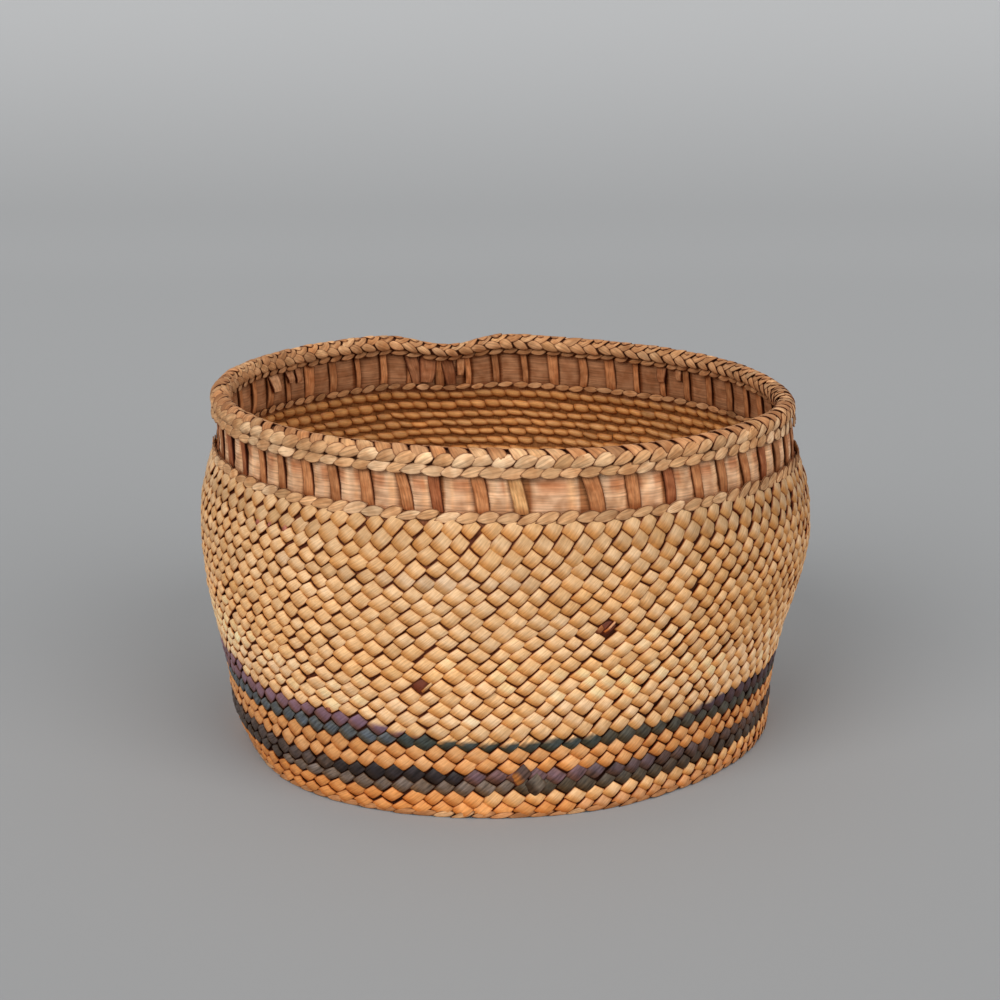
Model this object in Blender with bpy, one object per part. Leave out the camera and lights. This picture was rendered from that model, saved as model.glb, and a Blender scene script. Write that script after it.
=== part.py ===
"""A small twined basket of cedar bark and bear grass: plaited base, coursed wall, bark collar, braided rim.

The basket stands on the floor with its centre line on Z, and its front looks along -Y. Sizes are in metres.
The wall has three layers: the stitched courses outside, the upright warps, and the inner weft.
"""

import math

import bmesh
import bpy
from mathutils import Matrix, Vector

# Outer form of the wall, measured over the stitches
BELLY_RADIUS = 0.0600
FOOT_DRAW_IN = 0.0059
NECK_DRAW_IN = 0.0026
COURSES_HEIGHT = 0.0533
BELLY_HEIGHT = 0.0410
BELLY_BENDS = 4
BELLY_FULLNESS = 1.2

# Courses of the wall: the row at the foot's edge, even courses in bands of colour, and wider upper ones
FOOT_HEIGHT = 0.0009
UPPER_COURSES = 2
UPPER_COURSE_HEIGHT = 0.0025
GROOVE = 0.0004

# Bands of even courses from the foot up: name, number of courses, material
EVEN_BANDS = (
    ("lower_gold_courses", 2, "orange_grass"),
    ("lower_dark_courses", 2, "black_grass"),
    ("middle_gold_courses", 2, "orange_grass"),
    ("green_course", 1, "green_grass"),
    ("purple_course", 1, "purple_grass"),
    ("main_gold_courses", 15, "gold_grass"),
)

# Thickness of each layer, and the clearance that parts it from its neighbour
STITCH_THICKNESS = 0.0009
WARP_THICKNESS = 0.0005
WEFT_THICKNESS = 0.0009
CLEARANCE = 0.0003

# Warps: each flat of the round wall holds a few of them side by side
FLATS = 28
WARPS_PER_FLAT = 4
UPRIGHT_GAP = 0.0009

# Plaited base and the twined rows around it
PLAIT_STRIPS = 6
PLAIT_PITCH = 0.0065
PLAIT_GAP = 0.0004
PLAIT_THICKNESS = 0.0005
PLAIT_RAMP = 0.0012
PLAIT_TAIL = 0.0040
BASE_ROW_WIDTH = 0.0060
BASE_GROOVE_WIDTH = 0.0008

# Collar of bark between its twined rows
COLLAR_DRAW_IN = 0.0008
COLLAR_ROW_HEIGHT = 0.0015
COLLAR_ROW_THICKNESS = 0.0007
BAND_HEIGHT = 0.0064
BAND_THICKNESS = 0.0004
BAND_STEPS = 3

# Braided rim of three strands on the collar's top, and the places, as (sideways, up), that a strand takes
BRAID_CYCLES = 25
BRAID_STRANDS = 3
BRAID_CYCLE = ((0, 0), (1, 1), (1, -1), (0, 0), (-1, 1), (-1, -1))
STRAND_WIDTH = 0.0011
STRAND_THICKNESS = 0.0007

# How the soft basket has settled. At the back the rim has a pushed-in place
DENT_AZIMUTH = math.radians(104)
DENT_HALF_ANGLE = math.radians(15)
DENT_DEPTH = 0.0035
DENT_DROP = 0.0020
DENT_START_HEIGHT = 0.0400

# The rim stands higher on its left and at the back, and lower at the front left
RIM_TILT = 0.0009
RIM_TILT_AZIMUTH = math.radians(180)
RIM_TWIST = 0.0004
RIM_TWIST_AZIMUTH = math.radians(-45)
BACK_RISE = 0.0012

# The shoulder has moved over to the right, the rim a little less, and the foot stands out at the front left
SHOULDER_SHIFT = 0.0009
SHIFT_START_HEIGHT = 0.0200
SHIFT_FULL_HEIGHT = 0.0420
RIM_SHIFT_SHARE = 0.4
FOOT_BULGE = 0.0040
FOOT_BULGE_AZIMUTH = math.radians(-118)
FOOT_BULGE_SPREAD = 0.62
FOOT_BULGE_FADE = 0.15

# Colours as linear RGB, then roughness
MATERIALS = {
    "cedar_bark": ((0.42, 0.22, 0.10), 0.75),
    "gold_grass": ((0.66, 0.41, 0.16), 0.50),
    "orange_grass": ((0.60, 0.28, 0.08), 0.50),
    "green_grass": ((0.055, 0.065, 0.055), 0.55),
    "purple_grass": ((0.11, 0.06, 0.075), 0.55),
    "black_grass": ((0.030, 0.022, 0.020), 0.55),
}

# Radii, depths of the layers under the stitches, and heights that follow from the sizes above
FOOT_RADIUS = BELLY_RADIUS - FOOT_DRAW_IN
NECK_RADIUS = BELLY_RADIUS - NECK_DRAW_IN
WARP_OUTER = STITCH_THICKNESS + CLEARANCE
WARP_MIDDLE = WARP_OUTER + WARP_THICKNESS / 2
WARP_INNER = WARP_OUTER + WARP_THICKNESS
WEFT_OUTER = WARP_INNER + CLEARANCE
WEFT_INNER = WEFT_OUTER + WEFT_THICKNESS
WALL_TOP = FOOT_HEIGHT + COURSES_HEIGHT
SHOULDER = WALL_TOP - UPPER_COURSES * UPPER_COURSE_HEIGHT
BAND_BOTTOM = WALL_TOP + COLLAR_ROW_HEIGHT
BAND_TOP = BAND_BOTTOM + BAND_HEIGHT
COLLAR_TOP = BAND_TOP + COLLAR_ROW_HEIGHT
UPRIGHT_OFFSET = (BAND_THICKNESS + WARP_THICKNESS) / 2 + CLEARANCE

# How far a strand of the braid swings to each side, and how far it rises over the other two
BRAID_SWING = STRAND_WIDTH + CLEARANCE
BRAID_LIFT = STRAND_THICKNESS + CLEARANCE
BRAID_MIDDLE = COLLAR_TOP + CLEARANCE + BRAID_LIFT + STRAND_THICKNESS / 2
RIM_TOP = BRAID_MIDDLE + BRAID_LIFT + STRAND_THICKNESS / 2

# Corners of a flat strip's cross-section, as (across, up), and of a folded strand's
STRIP_CORNERS = ((-1, -1), (1, -1), (1, 1), (-1, 1))
STRAND_CORNERS = ((-1, -1), (1, -1), (0, 1))

PLAIT_HALF = PLAIT_STRIPS * PLAIT_PITCH / 2
BASE_HOLE = PLAIT_HALF + PLAIT_RAMP
BASE_ROWS_INNER = BASE_HOLE * math.sqrt(2)
PLAIT_REACH = BASE_ROWS_INNER + PLAIT_TAIL
BASE_OUTER = FOOT_RADIUS - WEFT_INNER
FLAT_ANGLE = 2 * math.pi / FLATS
FIRST_CORNER = FLAT_ANGLE / 2
BASE_FLAT_RADIUS = (BASE_OUTER - CLEARANCE) * math.cos(FLAT_ANGLE / 2)


def wall_radius(height):
    """Outer radius of the wall: it swells from the foot to the belly, then draws in to the neck."""
    if height < BELLY_HEIGHT:
        rise = (height / BELLY_HEIGHT) ** BELLY_FULLNESS
        fall = (1 + math.cos(math.pi * rise)) / 2
        return BELLY_RADIUS - (BELLY_RADIUS - FOOT_RADIUS) * fall
    share = (height - BELLY_HEIGHT) / (WALL_TOP - BELLY_HEIGHT)
    return BELLY_RADIUS - (BELLY_RADIUS - NECK_RADIUS) * share**2


def collar_radius(height):
    """Radius of the middle of the collar: the warps' middle at the wall's top, drawn in towards the rim."""
    share = (height - WALL_TOP) / (RIM_TOP - WALL_TOP)
    return NECK_RADIUS - WARP_MIDDLE - COLLAR_DRAW_IN * share


def smooth_step(value):
    """Rises gently from 0 to 1."""
    value = min(1, max(0, value))
    return value * value * (3 - 2 * value)


def angle_between(azimuth, other):
    return (azimuth - other + math.pi) % (2 * math.pi) - math.pi


def foot_bulge(azimuth, radius, share):
    """How far a point stands out at the foot's front left, by its share of the rim's height."""
    around = math.exp(-((angle_between(azimuth, FOOT_BULGE_AZIMUTH) / FOOT_BULGE_SPREAD) ** 2))
    upward = 1 - smooth_step((share - FOOT_BULGE_FADE) / (1 - FOOT_BULGE_FADE))
    inward = min(1, max(0, (radius - PLAIT_REACH) / (BASE_FLAT_RADIUS - PLAIT_REACH)))
    return FOOT_BULGE * around * upward * inward


def settling(azimuth, radius, height):
    """How far a corner line of the round basket moves, at a radius and height, once it has settled."""
    share = height / RIM_TOP
    outward = foot_bulge(azimuth, radius, share)
    tilt = RIM_TILT * math.cos(azimuth - RIM_TILT_AZIMUTH)
    twist = RIM_TWIST * math.cos(2 * (azimuth - RIM_TWIST_AZIMUTH))
    rise = BACK_RISE * (1 + math.sin(azimuth)) / 2
    upward = (tilt + twist + rise) * share
    sideways = SHOULDER_SHIFT * smooth_step(
        (height - SHIFT_START_HEIGHT) / (SHIFT_FULL_HEIGHT - SHIFT_START_HEIGHT)
    )
    sideways *= 1 - (1 - RIM_SHIFT_SHARE) * smooth_step((height - WALL_TOP) / (RIM_TOP - WALL_TOP))
    away = angle_between(azimuth, DENT_AZIMUTH)
    if abs(away) < DENT_HALF_ANGLE and height > DENT_START_HEIGHT:
        across = math.cos(math.pi / 2 * away / DENT_HALF_ANGLE) ** 2
        up = (height - DENT_START_HEIGHT) / (RIM_TOP - DENT_START_HEIGHT)
        outward -= DENT_DEPTH * across * up**2
        upward -= DENT_DROP * across * up**2
    return Vector((outward * math.cos(azimuth) + sideways, outward * math.sin(azimuth), upward))


def settle(form):
    """Moves every point as its flat moves, in straight lines between its corner lines and its bends."""
    levels = [*wall_bends(), RIM_TOP]
    for vert in form.verts:
        azimuth = math.atan2(vert.co.y, vert.co.x)
        left = FIRST_CORNER + math.floor((azimuth - FIRST_CORNER) / FLAT_ANGLE) * FLAT_ANGLE
        right = left + FLAT_ANGLE
        to_left = math.sin(azimuth - left)
        across = to_left / (to_left + math.sin(right - azimuth))
        low, high, up = between_bends(vert.co.z, levels)
        radius = vert.co.xy.length
        on_left = settling(left, radius, low).lerp(settling(left, radius, high), up)
        on_right = settling(right, radius, low).lerp(settling(right, radius, high), up)
        vert.co += on_left.lerp(on_right, across)
    return form


def material(name):
    found = bpy.data.materials.get(name)
    if found:
        return found
    colour, roughness = MATERIALS[name]
    made = bpy.data.materials.new(name)
    made.use_nodes = True
    shader = made.node_tree.nodes["Principled BSDF"]
    shader.inputs["Base Color"].default_value = (*colour, 1)
    shader.inputs["Roughness"].default_value = roughness
    shader.inputs["Metallic"].default_value = 0
    made.diffuse_color = (*colour, 1)
    return made


def add_object(name, form, material_name, smooth_angle=40):
    """Turns a finished form into a named object, smooth where its faces meet at a low angle."""
    bmesh.ops.recalc_face_normals(form, faces=form.faces)
    mesh = bpy.data.meshes.new(name)
    form.to_mesh(mesh)
    form.free()
    mesh.shade_smooth()
    mesh.set_sharp_from_angle(angle=math.radians(smooth_angle))
    mesh.materials.append(material(material_name))
    made = bpy.data.objects.new(name, mesh)
    bpy.context.scene.collection.objects.link(made)
    return made


def skin(form, rings):
    """Joins each ring of corners to the next with a face on each side."""
    for near, far in zip(rings, rings[1:]):
        for corner in range(len(near)):
            after = (corner + 1) % len(near)
            form.faces.new((near[corner], near[after], far[after], far[corner]))


def turned(outline, closed=True):
    """Spins an outline of (radius, height) points once round Z into a ring of flats."""
    form = bmesh.new()
    across = (math.cos(FIRST_CORNER), math.sin(FIRST_CORNER))
    points = [form.verts.new((radius * across[0], radius * across[1], z)) for radius, z in outline]
    pairs = list(zip(points, points[1:]))
    if closed:
        pairs.append((points[-1], points[0]))
    edges = [form.edges.new(pair) for pair in pairs]
    bmesh.ops.spin(
        form,
        geom=points + edges,
        cent=(0, 0, 0),
        axis=(0, 0, 1),
        angle=2 * math.pi,
        steps=FLATS,
        use_merge=True,
    )
    return form


def course_bands():
    """Each band of courses with its lower and upper edge."""
    even_height = (SHOULDER - FOOT_HEIGHT) / sum(count for _, count, _ in EVEN_BANDS)
    bottom = FOOT_HEIGHT
    for name, count, material_name in EVEN_BANDS:
        top = bottom + count * even_height
        yield name, bottom, top, count, material_name
        bottom = top
    yield "shoulder_courses", SHOULDER, WALL_TOP, UPPER_COURSES, "gold_grass"


def wall_bends():
    """Heights at which the hidden faces of the wall bend, the same for all three layers."""
    low = [BELLY_HEIGHT * step / BELLY_BENDS for step in range(1, BELLY_BENDS + 1)]
    return [0] + low + [SHOULDER, WALL_TOP]


def between_bends(height, bends):
    """The bends below and above a height, and how far it is from the one to the other."""
    low = max([bend for bend in bends[:-1] if bend <= height], default=bends[0])
    high = min(bend for bend in bends if bend > low)
    return low, high, (height - low) / (high - low)


def wall_line(depth, bottom, top):
    """Points of the wall's section at a depth under the stitches, straight between the shared bends."""
    bends = wall_bends()
    line = []
    for height in [bottom] + [bend for bend in bends if bottom < bend < top] + [top]:
        low, high, share = between_bends(height, bends)
        radius = wall_radius(low) * (1 - share) + wall_radius(high) * share
        line.append((radius - depth, height))
    return line


def build_stitched_courses():
    """Bands of courses by colour: a ridge for each course outside, a plain face against the warps."""
    for name, bottom, top, count, material_name in course_bands():
        low = bottom + CLEARANCE / 2
        high = top - CLEARANCE / 2
        step = (high - low) / count
        outside = []
        for course in range(count):
            groove = low + course * step
            crest = groove + step / 2
            outside.append((wall_radius(groove) - GROOVE, groove))
            outside.append((wall_radius(crest), crest))
        outside.append((wall_radius(high) - GROOVE, high))
        inside = wall_line(STITCH_THICKNESS, low, high)
        add_object(name, settle(turned(outside + inside[::-1])), material_name, smooth_angle=25)


def build_inner_weft():
    """The stiff weft that lies inside the warps, from the base to the wall's top."""
    bottom = WEFT_INNER + CLEARANCE
    top = WALL_TOP - CLEARANCE / 2
    outside = wall_line(WEFT_OUTER, bottom, top)
    inside = wall_line(WEFT_INNER, bottom, top)
    add_object("inner_weft", settle(turned(outside + inside[::-1])), "gold_grass")


def flat_frame(flat):
    """Directions of one flat of the wall: straight out, and along it."""
    azimuth = FIRST_CORNER + (flat + 0.5) * FLAT_ANGLE
    out = Vector((math.cos(azimuth), math.sin(azimuth), 0))
    along = Vector((-math.sin(azimuth), math.cos(azimuth), 0))
    return out, along


def upright_edges():
    """Distances along a flat, from its middle, of the sides of its uprights."""
    length = 2 * collar_radius(WALL_TOP) * math.sin(FLAT_ANGLE / 2)
    pitch = length / WARPS_PER_FLAT
    half_width = (pitch - UPRIGHT_GAP) / 2
    edges = []
    for warp in range(WARPS_PER_FLAT):
        middle = (warp + 0.5) * pitch - length / 2
        edges += [middle - half_width, middle + half_width]
    return edges


def add_upright(form, root, flat, edges, way):
    """One warp's free end: from its root it passes outside (+1) or inside (-1) the bark band."""
    out, along = flat_frame(flat)
    rings = [root]
    for height in (BAND_BOTTOM, COLLAR_TOP):
        middle = collar_radius(height) + way * UPRIGHT_OFFSET
        flat_distance = [
            (middle + side * WARP_THICKNESS / 2) * math.cos(FLAT_ANGLE / 2) for side in (1, 1, -1, -1)
        ]
        places = (edges[0], edges[1], edges[1], edges[0])
        rings.append(
            [
                form.verts.new(out * distance + along * place + Vector((0, 0, height)))
                for distance, place in zip(flat_distance, places)
            ]
        )
    skin(form, rings)
    form.faces.new(rings[-1])


def build_warps():
    """The warps, pressed edge to edge in the base and the wall, with their free ends in the collar."""
    flange_bottom = WARP_OUTER
    flange_top = WARP_INNER
    flange_inner = PLAIT_REACH + CLEARANCE
    split = wall_bends()[-2]
    outside = wall_line(WARP_OUTER, flange_bottom, split)
    inside = wall_line(WARP_INNER, flange_top, split)
    outline = inside[::-1] + [(flange_inner, flange_top), (flange_inner, flange_bottom)] + outside
    form = turned(outline, closed=False)

    radii = {1: outside[-1][0], -1: inside[-1][0]}
    lower = {side: ring_at(form, radii[side], split) for side in radii}
    top_radii = {side: collar_radius(WALL_TOP) + side * WARP_THICKNESS / 2 for side in radii}
    corners = {
        side: [form.verts.new((*polar(top_radii[side], flat), WALL_TOP)) for flat in range(FLATS)]
        for side in radii
    }
    edges = upright_edges()
    for flat in range(FLATS):
        out, along = flat_frame(flat)
        tops = {}
        for side in radii:
            distance = top_radii[side] * math.cos(FLAT_ANGLE / 2)
            middle = out * distance + Vector((0, 0, WALL_TOP))
            between = [form.verts.new(middle + along * edge) for edge in edges]
            tops[side] = [corners[side][flat], *between, corners[side][(flat + 1) % FLATS]]
            fan_strip(form, lower[side][flat], lower[side][(flat + 1) % FLATS], tops[side])
        outer, inner = tops[1], tops[-1]
        for gap in range(0, len(outer), 2):
            form.faces.new((outer[gap], outer[gap + 1], inner[gap + 1], inner[gap]))
        for warp in range(WARPS_PER_FLAT):
            first = 2 * warp + 1
            root = [outer[first], outer[first + 1], inner[first + 1], inner[first]]
            way = 1 if (flat * WARPS_PER_FLAT + warp) % 2 == 0 else -1
            add_upright(form, root, flat, edges[2 * warp : 2 * warp + 2], way)
    add_object("warps", settle(form), "cedar_bark", smooth_angle=25)


def polar(radius, corner):
    azimuth = FIRST_CORNER + corner * FLAT_ANGLE
    return radius * math.cos(azimuth), radius * math.sin(azimuth)


def ring_at(form, radius, height):
    """The points of a turned form at one radius and height, in order round it."""
    found = []
    for corner in range(FLATS):
        place = Vector((*polar(radius, corner), height))
        found.append(min(form.verts, key=lambda vert: (vert.co - place).length_squared))
    return found


def fan_strip(form, left, right, tops):
    """Fills the strip between a flat's lower edge and the many points of its upper edge."""
    middle = len(tops) // 2
    for before, after in zip(tops[:middle], tops[1 : middle + 1]):
        form.faces.new((left, after, before))
    form.faces.new((left, right, tops[middle]))
    for before, after in zip(tops[middle:], tops[middle + 1 :]):
        form.faces.new((right, after, before))


def base_rows(low, high, grooved):
    """Outline of the twined rows of the base, with grooves in their outer face at the given height."""
    inner = BASE_ROWS_INNER
    outer = BASE_OUTER - CLEARANCE
    count = max(1, round((outer - inner) / BASE_ROW_WIDTH))
    step = (outer - inner) / count
    plain = high if grooved == low else low
    depth = GROOVE if grooved == low else -GROOVE
    face = [(inner, grooved)]
    for row in range(1, count):
        middle = inner + row * step
        face.append((middle - BASE_GROOVE_WIDTH / 2, grooved))
        face.append((middle, grooved + depth))
        face.append((middle + BASE_GROOVE_WIDTH / 2, grooved))
    face.append((outer, grooved))
    return face + [(outer, plain), (inner, plain)]


def squared_hole(form):
    """Draws the round hole of the base rows in to a square that fits round the plait."""
    for vert in form.verts:
        if vert.co.xy.length < BASE_ROWS_INNER + CLEARANCE:
            vert.co.xy *= BASE_HOLE / max(abs(vert.co.x), abs(vert.co.y))
    return form


def build_base_rows():
    """Twined rows that hold the plait's ends and the warps between them, and the row at the foot's edge."""
    under = squared_hole(turned(base_rows(0, STITCH_THICKNESS, grooved=0)))
    add_object("base_twining_under", settle(under), "cedar_bark")
    over = squared_hole(turned(base_rows(WEFT_OUTER, WEFT_INNER, grooved=WEFT_INNER)))
    add_object("base_twining_inside", settle(over), "cedar_bark")

    top = FOOT_HEIGHT - CLEARANCE / 2
    crest = FOOT_RADIUS - GROOVE
    foot = [(BASE_OUTER, 0), (crest - GROOVE, 0), (crest, top / 2), (crest - GROOVE, top), (BASE_OUTER, top)]
    add_object("foot_course", settle(turned(foot)), "cedar_bark")


def build_plait():
    """Two sets of bark strips plaited over and under, their tails running out under the twined rows."""
    lift = (PLAIT_THICKNESS + CLEARANCE) / 2
    half_width = (PLAIT_PITCH - PLAIT_GAP) / 2
    centres = [(strip + 0.5) * PLAIT_PITCH - PLAIT_HALF for strip in range(PLAIT_STRIPS)]
    for label, over_first in (("lengthwise", 1), ("crosswise", -1)):
        for strip, offset in enumerate(centres):
            end = math.sqrt(PLAIT_REACH**2 - (abs(offset) + half_width) ** 2)
            stations = [(-end, 0), (-BASE_HOLE, 0)]
            for crossed, centre in enumerate(centres):
                over = over_first if (strip + crossed) % 2 == 0 else -over_first
                stations.append((centre - half_width, over * lift))
                stations.append((centre + half_width, over * lift))
            stations += [(BASE_HOLE, 0), (end, 0)]
            form = plait_strip(stations, over_first * offset, half_width)
            if label == "crosswise":
                quarter_turn = Matrix.Rotation(math.pi / 2, 3, "Z")
                bmesh.ops.rotate(form, verts=form.verts, cent=(0, 0, 0), matrix=quarter_turn)
            add_object(f"base_strip_{label}_{strip + 1}", form, "cedar_bark", smooth_angle=20)


def plait_strip(stations, offset, half_width):
    """One flat strip along X, through stations of (place, lift)."""
    form = bmesh.new()
    half_thickness = PLAIT_THICKNESS / 2
    rings = [
        [
            form.verts.new((place, offset + across * half_width, WARP_MIDDLE + lift + up * half_thickness))
            for across, up in STRIP_CORNERS
        ]
        for place, lift in stations
    ]
    skin(form, rings)
    form.faces.new(rings[0])
    form.faces.new(rings[-1])
    return form


def collar_row(bottom, way):
    """Outline of a twined row that presses the uprights, from outside (+1) or inside (-1)."""
    low = bottom + CLEARANCE / 2
    high = bottom + COLLAR_ROW_HEIGHT - CLEARANCE / 2

    def seat(height):
        opening = min(1, (height - WALL_TOP) / COLLAR_ROW_HEIGHT)
        offset = UPRIGHT_OFFSET * opening + WARP_THICKNESS / 2 + CLEARANCE
        return collar_radius(height) + way * offset

    middle = (low + high) / 2
    shoulder = COLLAR_ROW_THICKNESS / 2
    return [
        (seat(low), low),
        (seat(low) + way * shoulder, low),
        (seat(middle) + way * COLLAR_ROW_THICKNESS, middle),
        (seat(high) + way * shoulder, high),
        (seat(high), high),
    ]


def build_collar():
    """The bark band, woven between alternate uprights, and the twined rows below and above it."""
    half = BAND_THICKNESS / 2
    levels = [BAND_BOTTOM + (COLLAR_TOP - BAND_BOTTOM) * step / BAND_STEPS for step in range(BAND_STEPS + 1)]
    outside = [(collar_radius(level) + half, level) for level in levels]
    inside = [(collar_radius(level) - half, level) for level in levels]
    add_object("collar_band", settle(turned(outside + inside[::-1])), "cedar_bark")
    for place, bottom in (("lower", WALL_TOP), ("upper", BAND_TOP)):
        for face, way in (("outside", 1), ("inside", -1)):
            row = settle(turned(collar_row(bottom, way)))
            add_object(f"collar_{place}_twining_{face}", row, "cedar_bark", smooth_angle=50)


def braid_point(step, strand):
    """Middle of a strand at one step: each cycle takes it over and under the other two, on both sides."""
    places = len(BRAID_CYCLE)
    azimuth = 2 * math.pi * step / (BRAID_CYCLES * places)
    swing, lift = BRAID_CYCLE[(step + strand * places // BRAID_STRANDS) % places]
    radius = collar_radius(BRAID_MIDDLE) + swing * BRAID_SWING
    return Vector(
        (radius * math.cos(azimuth), radius * math.sin(azimuth), BRAID_MIDDLE + lift * BRAID_LIFT)
    )


def build_rim_braid():
    """Three folded strands, each a closed loop round the rim."""
    steps = BRAID_CYCLES * len(BRAID_CYCLE)
    for strand in range(BRAID_STRANDS):
        form = bmesh.new()
        rings = []
        for step in range(steps):
            before, here, after = (braid_point(step + shift, strand) for shift in (-1, 0, 1))
            tangent = (after - before).normalized()
            side = tangent.cross(Vector((0, 0, 1))).normalized()
            half_side = side * STRAND_WIDTH / 2
            half_up = side.cross(tangent) * STRAND_THICKNESS / 2
            rings.append(
                [form.verts.new(here + half_side * across + half_up * up) for across, up in STRAND_CORNERS]
            )
        skin(form, rings + rings[:1])
        add_object(f"rim_braid_strand_{strand + 1}", settle(form), "cedar_bark", smooth_angle=50)


def stand_on_centre_line():
    """Moves the settled basket so that the middle of its outline, seen from above, is on Z."""
    points = [vert.co for made in bpy.data.objects for vert in made.data.vertices]
    middle = Vector([(min(values) + max(values)) / 2 for values in list(zip(*points))[:2]] + [0])
    for made in bpy.data.objects:
        made.data.transform(Matrix.Translation(-middle))


def main():
    for old in list(bpy.data.objects):
        bpy.data.objects.remove(old, do_unlink=True)
    build_plait()
    build_base_rows()
    build_warps()
    build_inner_weft()
    build_stitched_courses()
    build_collar()
    build_rim_braid()
    stand_on_centre_line()


main()
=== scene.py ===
import math

import bpy
import numpy as np
from mathutils import Matrix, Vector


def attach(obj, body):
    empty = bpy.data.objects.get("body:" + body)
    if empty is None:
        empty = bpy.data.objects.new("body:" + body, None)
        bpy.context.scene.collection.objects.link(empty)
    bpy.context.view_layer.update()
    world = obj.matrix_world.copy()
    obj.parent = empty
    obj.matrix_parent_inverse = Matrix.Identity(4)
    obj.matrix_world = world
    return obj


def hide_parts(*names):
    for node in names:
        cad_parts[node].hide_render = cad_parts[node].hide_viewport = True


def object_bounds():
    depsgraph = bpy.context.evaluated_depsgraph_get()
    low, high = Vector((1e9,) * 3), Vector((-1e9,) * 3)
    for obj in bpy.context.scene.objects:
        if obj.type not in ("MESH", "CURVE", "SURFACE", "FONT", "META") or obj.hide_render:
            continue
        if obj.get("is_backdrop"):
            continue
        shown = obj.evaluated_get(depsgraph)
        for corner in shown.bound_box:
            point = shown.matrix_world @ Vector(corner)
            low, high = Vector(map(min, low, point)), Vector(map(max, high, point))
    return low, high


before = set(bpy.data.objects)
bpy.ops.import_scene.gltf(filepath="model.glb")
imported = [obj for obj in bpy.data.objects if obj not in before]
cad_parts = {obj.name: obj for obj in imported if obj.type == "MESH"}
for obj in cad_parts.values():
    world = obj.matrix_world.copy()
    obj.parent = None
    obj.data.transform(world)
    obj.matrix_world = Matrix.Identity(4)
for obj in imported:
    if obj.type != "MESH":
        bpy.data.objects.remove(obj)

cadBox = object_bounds()
bpy.ops.object.select_all(action="DESELECT")
chance = np.random.default_rng(17)

# The basket stands on its centre line. theta is the turn round it in radians, 0 at the front
# and growing to the right; heights are in metres above the floor.
basket = {
    "bellyRadius": 0.0600,
    "footRadius": 0.0541,
    "bellyFullness": 1.2,
    "neckRadius": 0.0574,
    "bellyHeight": 0.0410,
    "wallTop": 0.0542,
    "rimTop": 0.0666,
    "collarInset": 0.00165,  # from the neck's stitches in to the collar's middle
    "collarDrawIn": 0.0007,
    "dentTurn": 194,  # degrees from the front, at the back left
    "dentWidth": 16,
    "dentDepth": 0.0037,
    "dentDrop": 0.0021,
    "dentStart": 0.0400,
    "tilt": 0.0009,  # how much higher the rim is on its left
    "twist": 0.0004,  # and how much lower at the front left and back right
    "backLift": 0.0012,
    "leanRight": 0.0009,  # how far the shoulder stands to the right of the foot
    # where the wall stands out or in: how far, degrees round, spread in radians, height it fades from and to
    "bulges": (
        (0.0040, -28, 0.62, 0.00999, 0.0666),
        (-0.0021, -67, 0.36, 0.0, 0.0065),
        (0.0016, 17, 0.36, 0.0, 0.03996),
    ),
    "roundRipple": 0.00022,
    "fineRipple": 0.00012,
    "rimRipple": 0.00016,
    "baseFlat": 0.0333,  # the bulges fade under the base from its edge in to this radius
    "baseEdge": 0.0503,
    "centre": (-0.00079, 0.00065),  # moves the middle of the outline on to the centre line
}


def ink(red, green, blue):
    # a screen colour of 0 to 255 as the linear colour that a shader takes
    shares = np.array([red, green, blue]) / 255
    return np.where(shares <= 0.04045, shares / 12.92, ((shares + 0.055) / 1.055) ** 2.4)


def smoothStep(value):
    value = np.clip(value, 0, 1)
    return value * value * (3 - 2 * value)


def bell(value):
    return np.exp(-(value**2))


def wallRadius(height):
    belly, middle = basket["bellyRadius"], basket["bellyHeight"]
    share = np.clip(height / middle, 0, 1) ** basket["bellyFullness"]
    low = belly - (belly - basket["footRadius"]) * (1 + np.cos(np.pi * share)) / 2
    above = (height - middle) / (basket["wallTop"] - middle)
    return np.where(height < middle, low, belly - (belly - basket["neckRadius"]) * above**2)


def collarRadius(height):
    share = (height - basket["wallTop"]) / (basket["rimTop"] - basket["wallTop"])
    return basket["neckRadius"] - basket["collarInset"] - basket["collarDrawIn"] * share


def awayFrom(theta, degrees):
    # the turn from a place given in degrees, the short way round
    return (theta - math.radians(degrees) + np.pi) % (2 * np.pi) - np.pi


def settled(theta, radius, height):
    # where a point of the round basket ends up once the rim has tilted and its back is pushed in
    look = basket
    share = height / look["rimTop"]
    outward = look["roundRipple"] * np.sin(3 * theta) * share
    outward = outward + look["fineRipple"] * np.sin(7 * theta + 2.1 + 40 * height)
    for size, turn, spread, low, high in look["bulges"]:
        fade = 1 - smoothStep((height - low) / (high - low))
        outward = outward + size * bell(awayFrom(theta, turn) / spread) * fade
    outward = outward * np.clip((radius - look["baseFlat"]) / (look["baseEdge"] - look["baseFlat"]), 0, 1)
    upward = look["twist"] * np.sin(2 * theta) - look["tilt"] * np.sin(theta)
    upward = upward + look["backLift"] * (1 - np.cos(theta)) / 2 + look["rimRipple"] * np.sin(5 * theta + 3.1)
    # the wall leans over between the foot and the belly, and the rim stands back in part
    lean = smoothStep((height - 0.020) / 0.022) * (1 - 0.6 * smoothStep((height - 0.057) / 0.007))
    away = np.clip(awayFrom(theta, look["dentTurn"]) / math.radians(look["dentWidth"]), -1, 1)
    up = np.clip((height - look["dentStart"]) / (look["rimTop"] - look["dentStart"]), 0, 1.2)
    dent = np.cos(np.pi / 2 * away) ** 2 * up**2
    radius = radius + outward - look["dentDepth"] * dent
    height = height + upward * share - look["dentDrop"] * dent
    right = radius * np.sin(theta) + look["leanRight"] * lean
    return np.stack([right, -radius * np.cos(theta), height], axis=-1)


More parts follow.
